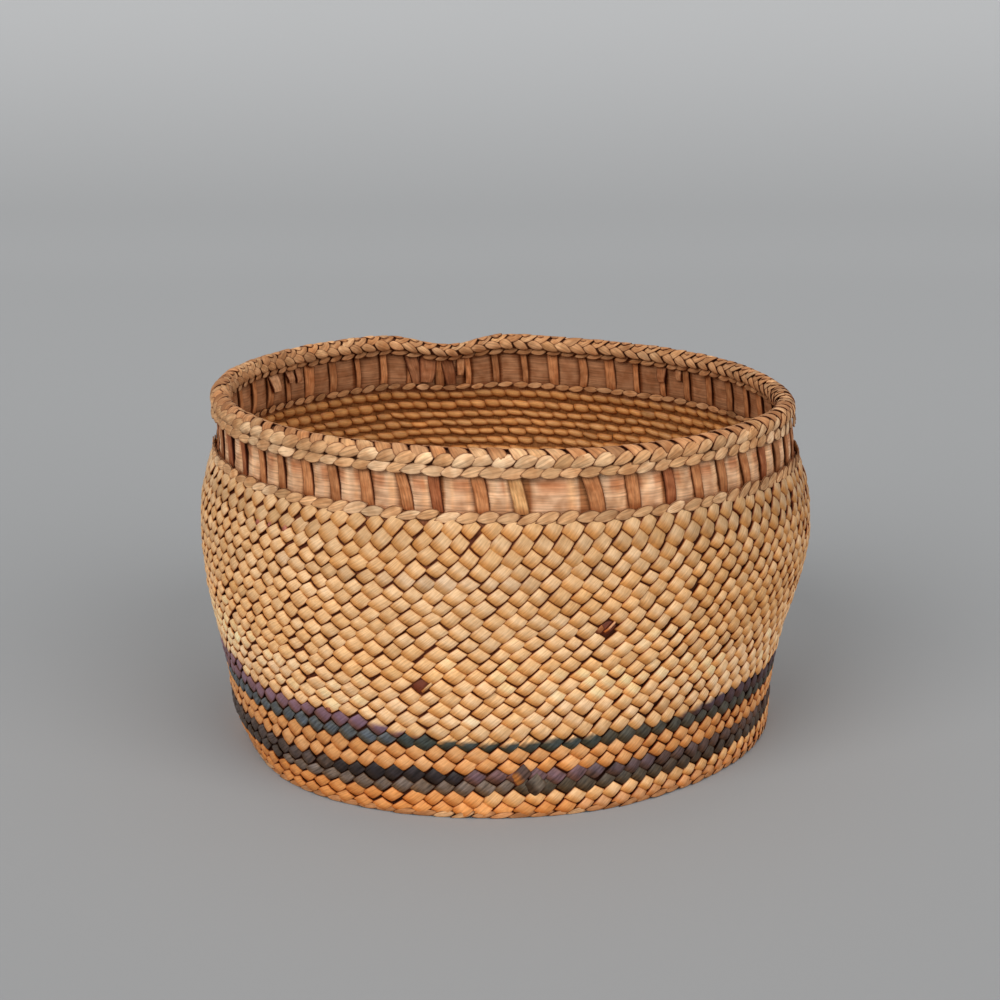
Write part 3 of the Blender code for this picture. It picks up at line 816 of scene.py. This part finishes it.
def buildInnerBeads():
    look = beadLook
    x, y, z = beadShape["points"].T
    parts = []
    for row in range(1, 25):
        # each round ends at the front, out of sight
        middles = rowStitches(row) + 0.25 + weave["stitchesPerTurn"] / 2
        count = len(middles)
        varies = variesFor(count)
        along = x * look["length"] * (1 + varies(look["sizeVaries"]))
        across = y * look["height"] * (1 + varies(look["sizeVaries"]))
        stitches = middles[:, None] - along + look["slant"] * across + varies(look["placeVaries"])
        levels = row + 0.5 + across + varies(look["placeVaries"]) - look["slant"] * 0.5 * along
        points = wallPoint(stitches, levels, varies(look["liftVaries"]) - look["depth"] - z, 0.5)
        cast = castFor(turnOf(middles), weave["rowHeight"] * row, count)
        parts.append((points, beadTints(look, cast), grainFor(x, y, look["grain"], count)))
    layCopies("inner_weft_beads", beadShape, parts, grass, ["inner_weft"])


buildInnerBeads()

# Leaves of bark: the twined rows of the collar, the foot and the braided rim are rows of them
leafLook = {
    "columns": 8,
    "rows": (-0.5, -0.39, 0.0, 0.39, 0.5),
    "thickness": 0.00020,
    "sideDrop": 0.00005,
    "endDrop": 0.00009,
    "taper": 0.94,
    "taperPower": 2.1,
}
stripLook = dict(leafLook, taper=0.55, taperPower=6.0)


def modelLeaf(look):
    shape = modelStrip(
        evenShares(look["columns"]),
        look["rows"],
        look["thickness"],
        lambda share: look["sideDrop"] * abs(2 * share) ** 3.5,
        lambda share: 1 - look["taper"] * abs(2 * share) ** look["taperPower"],
        lambda share: look["endDrop"] * abs(2 * share) ** 3.0,
    )
    return dict(shape, look=look)


collarLook = {
    "leafRadius": 0.0557,  # mean radii of the leaves, the uprights and the loose ends
    "uprightRadius": 0.0562,
    "looseRadius": 0.0535,
    "wider": 0.28,  # a leaf is wider at the end that tucks under the next one
    "tuck": 0.0003,
}
leafGrain = (3.4, 1.7)
leafVaries = {"length": 0.07, "width": 0.09, "slope": 0.07, "up": 0.00008, "along": 0.00012, "lift": 0.00006}
leafShape = modelLeaf(leafLook)
stripShape = modelLeaf(stripLook)


def collarPoint(way, seat):
    # places leaves on the collar's outside (+1) or inside (-1), a distance out from the bark's middle
    def place(theta, up, lift, row):
        height = row["height"] + up
        return settled(theta, collarRadius(height) + way * (seat + lift), height)

    return place


braidLook = {
    "radius": 0.0548,
    "height": 0.0643,
    "across": 0.00200,
    "upward": 0.00190,
    "coreSides": 10,
    "coreCorners": 212,
    "coreShadeInk": ink(92, 54, 34),
}


def braidPoint(theta, up, lift, row):
    # places leaves round the braid's section: row["lean"] is 0 outside, 90 on top, 180 inside
    lean = math.radians(row["lean"]) + up / braidLook["upward"]
    radius = braidLook["radius"] + (braidLook["across"] + lift) * np.cos(lean)
    height = braidLook["height"] + (braidLook["upward"] + lift) * np.sin(lean)
    return settled(theta, radius, height)


def layLeaves(name, rows, place, nodes, shape=leafShape, way=1):
    x, y, z = shape["points"].T
    parts = []
    for row in rows:
        count = row["count"]
        varies = variesFor(count)
        middles = (np.arange(count) + row.get("start", 0)) * 2 * np.pi / count
        along = x * row["length"] * (1 + varies(leafVaries["length"]))
        across = y * row["width"] * (1 + varies(leafVaries["width"])) * (1 + collarLook["wider"] * x)
        slope = math.radians(row["slope"]) + varies(leafVaries["slope"])
        right = along * np.cos(slope) - across * np.sin(slope)
        up = along * np.sin(slope) + across * np.cos(slope) + varies(leafVaries["up"])
        theta = middles[:, None] + (way * right + varies(leafVaries["along"])) / collarLook["leafRadius"]
        lift = z * row.get("plump", 1) + varies(leafVaries["lift"]) - collarLook["tuck"] * x
        points = place(theta, up, lift, row)
        # painted shade: a dark outline round each leaf for the shadow in the gaps between them, and darker
        # undersides, held to the row's limit where it has one
        side = np.abs(2 * y) / (1 - shape["look"]["taper"] * np.abs(2 * x) ** shape["look"]["taperPower"])
        edge = smoothStep((np.abs(2 * x) - 0.76) / 0.24) + smoothStep((side - 0.74) / 0.24)
        edge = np.clip(edge, 0, 1)[:, None]
        cast = castFor(middles, row.get("height", 0.065), count, 0.11, 0.03)
        pale = (chance.random(count) < row.get("paleShare", 0.2))[:, None]
        base = np.where(pale, row["paleInk"], row["ink"]) * cast
        shade = (1 - edge) + np.array([0.18, 0.07, 0.03]) * edge
        under = np.maximum(shade * 0.24, row.get("underTint", 0))
        tints = base[:, None, :] * np.where(shape["under"][:, None], under, shade)
        parts.append((points, tints, grainFor(x, y, leafGrain, count)))
    layCopies(name, shape, parts, bark, nodes)


tanInk = ink(216, 168, 122)
tanPale = ink(234, 194, 152)
darkTanInk = ink(204, 154, 110)

outerRow = {"count": 106, "length": 0.0046, "width": 0.00205, "ink": tanInk, "paleInk": tanPale}
outerRow["underTint"] = 0.6  # the painted shade on their undersides, seen from inside between the uprights, goes no darker than this
innerRow = {"count": 106, "width": 0.00150, "paleInk": darkTanInk}
lowerInside = dict(innerRow, height=0.0550, length=0.0038, slope=6, ink=ink(190, 138, 94))
upperInside = dict(innerRow, height=0.0627, length=0.0040, slope=14, ink=ink(186, 134, 92), start=0.5)
collarRows = {  # each twined row's leaves, the way they look and how far from the bark's middle they stand
    "lower_%s_outside": (dict(outerRow, height=0.0548, slope=15), 1, 0.00158),
    "upper_%s_outside": (dict(outerRow, height=0.0625, slope=13, start=0.4), 1, 0.00138),
    "lower_%s_inside": (lowerInside, -1, 0.0015),
    "upper_%s_inside": (upperInside, -1, 0.0015),
}
for label, (row, way, seat) in collarRows.items():
    name, node = "collar_" + label % "leaves", "collar_" + label % "twining"
    layLeaves(name, [row], collarPoint(way, seat), [node], way=way)

strandRow = {"count": 104, "ink": tanInk, "paleInk": tanInk, "plump": 1.1}
braidOuter = dict(strandRow, lean=4, length=0.0049, width=0.00255, slope=27, paleInk=tanPale, paleShare=0.35)
braidCrest = dict(strandRow, lean=68, length=0.0042, width=0.00260, slope=-58, ink=ink(196, 142, 98), start=0.6)
braidInner = dict(strandRow, lean=128, length=0.0046, width=0.00215, slope=30, ink=ink(194, 142, 98), start=0.3)
braidTuck = dict(strandRow, lean=184, length=0.0042, width=0.0022, slope=-24, ink=darkTanInk, start=0.8)
braidTuck["plump"] = 1.0
layLeaves("rim_braid_outer", [braidOuter], braidPoint, ["rim_braid_strand_1"])
layLeaves("rim_braid_crest", [braidCrest], braidPoint, ["rim_braid_strand_2"], stripShape)
layLeaves("rim_braid_inner", [braidInner, braidTuck], braidPoint, ["rim_braid_strand_3"])


def buildBraidCore():
    # the braid's middle, seen only between its leaves, inked dark as painted shade in those gaps
    rings, sides = [], braidLook["coreSides"]
    for step in range(sides):
        lean = 2 * math.pi * step / sides
        radius = braidLook["radius"] + (braidLook["across"] - 0.0005) * math.cos(lean)
        rings.append((radius, braidLook["height"] + (braidLook["upward"] - 0.0004) * math.sin(lean)))
    core = turnRings("rim_braid_core", rings, braidLook["coreCorners"])
    theta, radius, height = roundPlaces(core)
    points, tints = settled(theta, radius, height), np.tile(braidLook["coreShadeInk"], (len(theta), 1))
    dressRings(core, points, tints, np.degrees(theta), height * 1000, bark, "rim_braid_strand_1")


buildBraidCore()

# The collar's bark band, and the warps' free ends that cross it
outsideTurns = [-51.9, -45.7, -38.7, -32.4, -25.5, -18.3, -12.3, -4.7, 1.9]  # from left to right of the front
outsideTurns += [15.2, 22.7, 29.9, 36.4, 42.6, 49.6, 56.3, 63.1]
paleUpright = 8  # the wide pale one just right of the front
uprightLook = {
    "backPitch": 6.79,
    "bottom": 0.0552,
    "top": 0.0630,
    "width": 0.0022,
    "insideWidth": 0.0021,
    "lean": 0.0011,
    "thickness": 0.00030,
    "stand": 0.00062,
    "grain": (8, 2.2),
    "ink": ink(196, 132, 86),
    "pale": ink(226, 172, 116),
    "dark": ink(166, 100, 64),
}
bandLook = {
    "thickness": 0.00035,
    "pillow": 0.00036,
    "levels": 9,
    "corners": 640,
    "ink": ink(232, 188, 150),
    "streak": ink(202, 136, 94),
    "bottom": 0.0548,
    "top": 0.0636,
}
bandFibres = dict(barkLook, alongFibre=0.10, acrossFibre=2.6, fibreDepth=0.42, blotchScale=0.35)
bandBark = fibreMaterial("collar_bark", bandFibres)

# the uprights go on evenly behind the measured ones at the front
wholeGap = 360 - (outsideTurns[-1] - outsideTurns[0])
backCount = round(wholeGap / uprightLook["backPitch"])
backTurns = [outsideTurns[-1] + wholeGap * step / backCount for step in range(1, backCount)]
uprightTurns = np.array(outsideTurns + backTurns)


def bandPlace(theta):
    # which two uprights a turn lies between, and its share of the way from one to the next
    turns = np.degrees(theta) % 360
    marks = np.sort(uprightTurns % 360)
    marks = np.concatenate([[marks[-1] - 360], marks, [marks[0] + 360]])
    after = np.searchsorted(marks, turns, side="right")
    low, high = marks[after - 1], marks[after]
    return after, (turns - low) / (high - low)


def buildBand():
    look = bandLook
    levels = np.linspace(look["bottom"], look["top"], look["levels"])
    half = look["thickness"] / 2
    outside, inside = ([(collarRadius(level) + side, level) for level in levels] for side in (half, -half))
    band = turnRings("collar_bark_band", outside + inside[::-1], look["corners"])
    theta, radius, height = roundPlaces(band)
    middle = (height - look["bottom"]) / (look["top"] - look["bottom"])
    gap, share = bandPlace(theta)
    wave = -np.cos(2 * np.pi * share)
    swell = look["pillow"] * wave * np.sin(np.pi * np.clip(middle, 0, 1))
    ripple = 0.00005 * np.sin(height * 9000 + 2 * np.sin(9 * theta))
    ripple = ripple + 0.00004 * np.sin(31 * theta + height * 2000)
    points = settled(theta, radius + swell + ripple, height)
    red = bell((middle - 0.60) / 0.17) * smoothStep(0.7 + 0.9 * np.sin(5 * gap + 9 * share))
    red = red + 0.6 * bell((middle - 0.30) / 0.05) * smoothStep(0.5 + 0.9 * np.sin(3 * gap + 5 * share))
    red = np.clip(red, 0, 1)[:, None]
    creases = (0.30 + 0.4 * np.sin(7 * gap) ** 2, 0.72)
    crease = sum(bell((share - place) / 0.05) for place in creases)[:, None]
    tints = look["ink"] * (1 - red) + look["streak"] * red
    tints = tints * (1 + crease * np.array([0.16, 0.10, 0.0]))
    # painted shade: darker along the band's top and bottom edges, under the leaf rows, and beside each upright;
    # the inside face is also darker and browner
    edge = smoothStep((np.abs(middle - 0.5) - 0.34) / 0.12)[:, None]
    inside = (radius < collarRadius(height))[:, None]
    beside = smoothStep((np.where(inside[:, 0], wave, -wave) - 0.22) / 0.28)[:, None]
    tints = np.where(inside, look["ink"] * 0.7 + look["streak"] * 0.3, tints)
    tints = tints * (1 - edge * np.array([0.45, 0.60, 0.70])) * (1 - beside * np.array([0.50, 0.68, 0.80]))
    tints = tints * np.where(inside, np.array([[0.555, 0.44, 0.355]]), 1)
    dressRings(band, points, tints, np.degrees(theta), height * 1000, bandBark, "collar_band")


buildBand()


uprightShape = modelStrip(
    evenShares(6),
    (-0.5, -0.37, 0.0, 0.37, 0.5),
    uprightLook["thickness"],
    lambda share: 0.00014 * abs(2 * share) ** 4,
    lambda share: 1,
    lambda share: 0.00022 * abs(2 * share) ** 4,
)


def layUprights(name, turns, way, widths, inks):
    # x runs up the strip and y across it
    look = uprightLook
    x, y, z = uprightShape["points"].T
    count = len(turns)
    varies = variesFor(count)
    rise = look["top"] - look["bottom"]
    height = look["bottom"] + (x + 0.5) * rise
    lean = (look["lean"] * (1 + varies(0.3))) if way > 0 else varies(0.0002)
    sway = varies(0.00015) * np.sin(np.pi * (x + 0.5))
    taper = 1 + varies(0.08) * x
    right = -y * widths[:, None] * taper - lean * x + sway
    theta = np.radians(turns)[:, None] + (right if way > 0 else -right) / collarLook["uprightRadius"]
    lift = z + varies(0.00004)
    radius = collarRadius(height) + way * (look["stand"] + lift)
    points = settled(theta, radius, height)
    # painted shade: a dark line down each side, darker on one side, and darker undersides; the strips are also
    # darker towards their ends, under the leaf rows
    ends = smoothStep((np.abs(x) - 0.30) / 0.2)[:, None]
    sides = (smoothStep((np.abs(2 * y) - 0.74) / 0.26) * np.where(y < 0, 0.97, 0.70))[:, None]
    tints = inks[:, None, :] * (1 - np.array([0.30, 0.45, 0.55]) * ends)
    tints = tints * (1 - sides * np.array([0.85, 0.95, 1.0]))
    tints = np.where(uprightShape["under"][:, None], tints * 0.35, tints)
    parts = [(points, tints, grainFor(x, y, look["grain"], count))]
    layCopies(name, uprightShape, parts, bark, ["warps"])


def buildUprights():
    look = uprightLook
    count = len(uprightTurns)
    inks = look["ink"] * chance.normal(1, 0.12, (count, 1))
    inks[chance.random(count) < 0.25] = look["dark"]
    inks[paleUpright] = look["pale"]
    widths = chance.normal(look["width"], 0.00025, count)
    widths[paleUpright] = 0.0025
    layUprights("uprights_outside", uprightTurns, 1, widths, inks)
    marks = np.sort(uprightTurns % 360)
    between = (marks + np.concatenate([marks[1:], [marks[0] + 360]])) / 2
    inks = look["ink"] * chance.normal(0.95, 0.14, (len(between), 1))
    widths = chance.normal(look["insideWidth"], 0.00045, len(between))
    layUprights("uprights_inside", between, -1, widths, inks)
    layLooseEnds("loose_bundles", looseEnds)


# Loose and shredded bark inside the collar at the back left and at the dent: turn, top and bottom height,
# width, lean to the side, how far its lower end stands off, and its ink
looseEnds = [
    (242.5, 0.0630, 0.0584, 0.0036, 0.0004, 0.0012, ink(214, 160, 118)),
    (236.8, 0.0630, 0.0594, 0.0024, 0.0003, 0.0010, ink(190, 136, 98)),
    (233.5, 0.0630, 0.0590, 0.0018, -0.0003, 0.0008, ink(180, 124, 86)),
    (203.0, 0.0632, 0.0556, 0.0030, 0.0014, 0.0007, ink(158, 104, 70)),
    (198.5, 0.0632, 0.0562, 0.0038, -0.0010, 0.0012, ink(170, 112, 76)),
    (194.5, 0.0632, 0.0556, 0.0030, 0.0012, 0.0008, ink(146, 92, 60)),
    (190.5, 0.0632, 0.0580, 0.0020, -0.0005, 0.0009, ink(198, 138, 94)),
    (141.0, 0.0632, 0.0586, 0.0024, -0.0003, 0.0010, ink(170, 112, 74)),
    (136.5, 0.0630, 0.0596, 0.0018, 0.0003, 0.0010, ink(188, 132, 92)),
]


def layLooseEnds(name, ends):
    # x runs up the strip and y across it; the lower end hangs free and narrows
    x, y, z = uprightShape["points"].T
    turn, top, low, wide, lean, stands = (np.array([end[part] for end in ends])[:, None] for part in range(6))
    fall = 0.5 - x
    height = top + (low - top) * fall
    right = -y * wide * (1 - 0.25 * fall**3) + lean * fall
    radius = collarRadius(height) - uprightLook["stand"] - z - stands * np.sin(0.5 * np.pi * fall) ** 2
    points = settled(np.radians(turn) - right / collarLook["looseRadius"], radius, height)
    # painted shade: dark along both sides
    sides = smoothStep((np.abs(2 * y) - 0.74) / 0.26)[:, None]
    tints = np.array([end[6] for end in ends])[:, None, :] * (1 - sides * np.array([0.80, 0.92, 0.96]))
    parts = [(points, tints, grainFor(x, y, uprightLook["grain"], len(ends)))]
    layCopies(name, uprightShape, parts, bark, ["warps"])


buildUprights()

# The row of bark leaves at the foot's edge
footRow = {
    "count": 104,
    "height": 0.0006,
    "radius": 0.0540,
    "length": 0.0044,
    "width": 0.0013,
    "slope": 8,
    "ink": ink(204, 144, 96),
    "paleInk": tanInk,
    "plump": 0.7,
}


def footPoint(theta, up, lift, row):
    height = np.maximum(row["height"] + up, 0.0001)
    return settled(theta, row["radius"] + lift - 0.3 * np.maximum(row["height"] - height, 0), height)


layLeaves("foot_leaves", [footRow], footPoint, ["foot_course"])

# The base: bark strips plaited over and under, and twined rows of beads round them
plaitLook = {
    "strips": 6,
    "pitch": 0.0065,
    "width": 0.0061,
    "thickness": 0.00045,
    "lift": 0.00042,
    "reach": 0.0333,
    "middle": 0.00145,
    "wander": 0.00012,
    "grain": (1000, 6.1),
    "ink": ink(176, 120, 78),
}


plaitShape = modelStrip(
    evenShares(60), evenShares(4), plaitLook["thickness"], lambda share: 0.00010 * abs(2 * share) ** 3
)


def buildPlait():
    look = plaitLook
    x, y, z = plaitShape["points"].T
    half = look["strips"] * look["pitch"] / 2
    for label, first in (("lengthwise", 1), ("crosswise", -1)):
        for strip in range(look["strips"]):
            offset = (strip + 0.5) * look["pitch"] - half
            end = math.sqrt(look["reach"] ** 2 - (abs(offset) + look["width"] / 2) ** 2)
            along = x * 2 * end
            across = offset + y * look["width"] + look["wander"] * np.sin(along * 300 + strip * 2)
            parity = first if strip % 2 == 0 else -first
            wave = np.sin((along + half) / look["pitch"] * np.pi) * parity
            wave = np.sign(wave) * np.abs(wave) ** 0.6 * (np.abs(along) < half)
            height = look["middle"] + wave * look["lift"] + z + look["thickness"] / 2
            if label == "lengthwise":
                points = np.stack([along, across, height], axis=-1)
            else:  # a quarter turn
                points = np.stack([-across, along, height], axis=-1)
            # painted shade: darker between the crossings and beyond the plaited square
            dip = np.clip(0.5 + 0.5 * np.abs(wave), 0, 1)[:, None]
            cast = castFor(np.array([offset * 50.0]), 0.001, 1, 0.09, 0.04)
            tints = look["ink"] * cast[:, None, :] * (0.55 + 0.45 * dip)
            parts = [(points[None], tints, grainFor(along, y, look["grain"], 1))]
            name, node = f"plait_{label}_{strip + 1}", f"base_strip_{label}_{strip + 1}"
            layCopies(name, plaitShape, parts, bark, [node])


buildPlait()

baseLook = {
    "rows": 12,
    "inner": 0.0213,
    "outer": 0.0502,
    "beadLength": 0.0034,
    "length": 0.98,  # of a bead's cell
    "height": 0.96,
    "shift": 0.45,  # from one row's beads to the next row's
    "slant": 0.0004,
    "sizeVaries": 0.04,
    "liftVaries": 0.00003,
}


def squareRadius(theta, share):
    # how far out a ring of the base runs: a square round the plait grows into the round foot
    power = 2 + 8 * (1 - share) ** 2
    size = baseLook["inner"] + (baseLook["outer"] - baseLook["inner"]) * share
    return size / (np.abs(np.cos(theta)) ** power + np.abs(np.sin(theta)) ** power) ** (1 / power)


def buildBaseBeads(name, way, crest, node, tintInk):
    # beads under the base look down (-1) and those inside look up (+1)
    look = {**beadLook, **baseLook, "ink": tintInk}
    x, y, z = beadShape["points"].T
    last = look["rows"] - 1
    turns = np.linspace(0, 2 * np.pi, 721)
    parts = []
    for row in range(last + 1):
        rim = squareRadius(turns, row / last)
        steps = np.hypot(np.diff(rim * np.cos(turns)), np.diff(rim * np.sin(turns)))
        walked = np.concatenate([[0], np.cumsum(steps)])
        whole = walked[-1]
        count = round(whole / look["beadLength"])
        varies = variesFor(count)
        middles = (np.arange(count) + look["shift"] * row) * whole / count
        along = x * look["length"] * whole / count * (1 + varies(look["sizeVaries"]))
        across = y * look["height"] * (1 + varies(look["sizeVaries"]))
        theta = np.interp((middles[:, None] - way * along + look["slant"] * across) % whole, walked, turns)
        height = crest + way * (z - np.abs(varies(look["liftVaries"])))
        points = settled(theta, squareRadius(theta, (row + across) / last), np.maximum(height, 0))
        cast = castFor(middles * 30, 0.002, count)
        parts.append((points, beadTints(look, cast), grainFor(x, y, look["grain"], count)))
    layCopies(name, beadShape, parts, bark, [node])


buildBaseBeads("base_beads_under", -1, 0.0, "base_twining_under", ink(190, 136, 90))
buildBaseBeads("base_beads_inside", 1, 0.0029, "base_twining_inside", ink(184, 130, 84))
print("the basket is made")

# A plain pale sweep, a floor that turns up into a wall far behind, with painted light: the floor lighter behind
# than in front, the wall darker where it rises and lighter towards its top; with soft lamps and the camera
stageLook = {
    "near": ink(157, 158, 159),
    "middle": ink(161, 162, 163),
    "wallLow": ink(155, 156, 157),
    "wallHigh": ink(172, 173, 174),
    "halfWidth": 5.0,
    "front": -2.5,
    "back": 0.60,
    "bend": 1.2,
    "bendSteps": 48,
    "wallTop": 1.0,
    "roughness": 0.9,
    "shine": 0.1,
}


def rampNode(nodes, links, value, low, high):
    ramp = addNode(nodes, "MapRange", {"From Min": low, "From Max": high}, interpolation_type="SMOOTHSTEP")
    links.new(value, ramp.inputs["Value"])
    return ramp.outputs["Result"]


def mixNode(nodes, links, factor, first, second):
    mix = addNode(nodes, "Mix", data_type="RGBA")
    links.new(factor, mix.inputs["Factor"])
    for socket, value in (("A", first), ("B", second)):
        if isinstance(value, np.ndarray):
            mix.inputs[socket].default_value = (*value, 1)
        else:
            links.new(value, mix.inputs[socket])
    return mix.outputs["Result"]


def buildSweep():
    look = stageLook
    bpy.ops.mesh.primitive_plane_add(size=1, location=(0, 0, 0))
    sweep = bpy.context.object
    sweep.name = "sweep"
    pick(sweep, lambda co: co.y < 0)
    moveBy(0, look["front"] + 0.5, 0)
    leaveEdit()
    pick(sweep, lambda co: co.y > 0)
    moveBy(0, look["back"] - 0.5, 0)
    for step in range(look["bendSteps"]):
        first, second = (math.radians(90 * part / look["bendSteps"]) for part in (step, step + 1))
        along = look["bend"] * (math.sin(second) - math.sin(first))
        rise = look["bend"] * (math.cos(first) - math.cos(second))
        drawOut(0, along, rise)
    drawOut(0, 0, look["wallTop"])
    bpy.ops.mesh.select_all(action="SELECT")
    resizeBy(2 * look["halfWidth"], 1, 1)
    bpy.ops.mesh.normals_make_consistent(inside=False)
    leaveEdit()
    bpy.ops.object.shade_smooth()
    made, nodes, links, shader = startMaterial("pale_paper", look)
    where = addNode(nodes, "TexCoord")
    axes = addNode(nodes, "SeparateXYZ")
    links.new(where.outputs["Object"], axes.inputs["Vector"])
    # painted light: lighter behind than in front on the floor, and on the wall lighter towards its top
    behind = rampNode(nodes, links, axes.outputs["Y"], -0.1, 0.4)
    floorTone = mixNode(nodes, links, behind, look["near"], look["middle"])
    upward = addNode(nodes, "Math", {1: 0.6}, operation="POWER")
    links.new(rampNode(nodes, links, axes.outputs["Z"], 0.005, 0.16), upward.inputs[0])
    backTone = mixNode(nodes, links, upward.outputs[0], look["wallLow"], look["wallHigh"])
    rise = rampNode(nodes, links, axes.outputs["Z"], 0.0, 0.02)
    links.new(mixNode(nodes, links, rise, floorTone, backTone), shader.inputs["Base Color"])
    sweep.data.materials.append(made)
    sweep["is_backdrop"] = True


lamps = {  # place, strength and how wide the light spreads, in degrees
    "key_lamp": ((-0.75, -1.0, 0.85), 1.7, 40),
    "fill_lamp": ((0.9, -1.0, 0.85), 1.3, 48),
    "top_lamp": ((0.1, 0.2, 1.6), 0.35, 70),
}
cameraLook = {"place": (-0.00119, -0.36505, 0.1385), "downward": 14.618, "lens": 68.27, "sensor": 36}


def addLamp(name, place, strength, spread):
    # a wide, even lamp far off, so the light is the same all over the floor
    bpy.ops.object.light_add(type="SUN", location=place)
    lamp = bpy.context.object
    lamp.name = name
    lamp.data.energy = strength
    lamp.data.angle = math.radians(spread)
    flat = math.hypot(place[0], place[1])
    lamp.rotation_euler = (math.atan2(flat, place[2]), 0, math.atan2(place[0], -place[1]))


def lightScene():
    for name, (place, strength, spread) in lamps.items():
        addLamp(name, place, strength, spread)
    world = bpy.data.worlds.new("studio")
    world.use_nodes = True
    backdrop = world.node_tree.nodes["Background"]
    backdrop.inputs["Color"].default_value = (1, 1, 1, 1)
    backdrop.inputs["Strength"].default_value = 0.36
    bpy.context.scene.world = world
    bpy.context.scene.view_settings.view_transform = "Standard"


def addCamera():
    look = cameraLook
    bpy.ops.object.camera_add(location=look["place"], rotation=(math.radians(90 - look["downward"]), 0, 0))
    camera = bpy.context.object
    camera.data.lens = look["lens"]
    camera.data.sensor_width = look["sensor"]
    camera.data.clip_start = 0.01
    camera.data.clip_end = 100
    bpy.context.scene.camera = camera


buildSweep()
lightScene()
addCamera()
bpy.ops.object.select_all(action="DESELECT")
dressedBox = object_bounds()
plain = lambda box: [list(map(float, corner)) for corner in box]
{"cad": plain(cadBox), "scene": plain(dressedBox)}
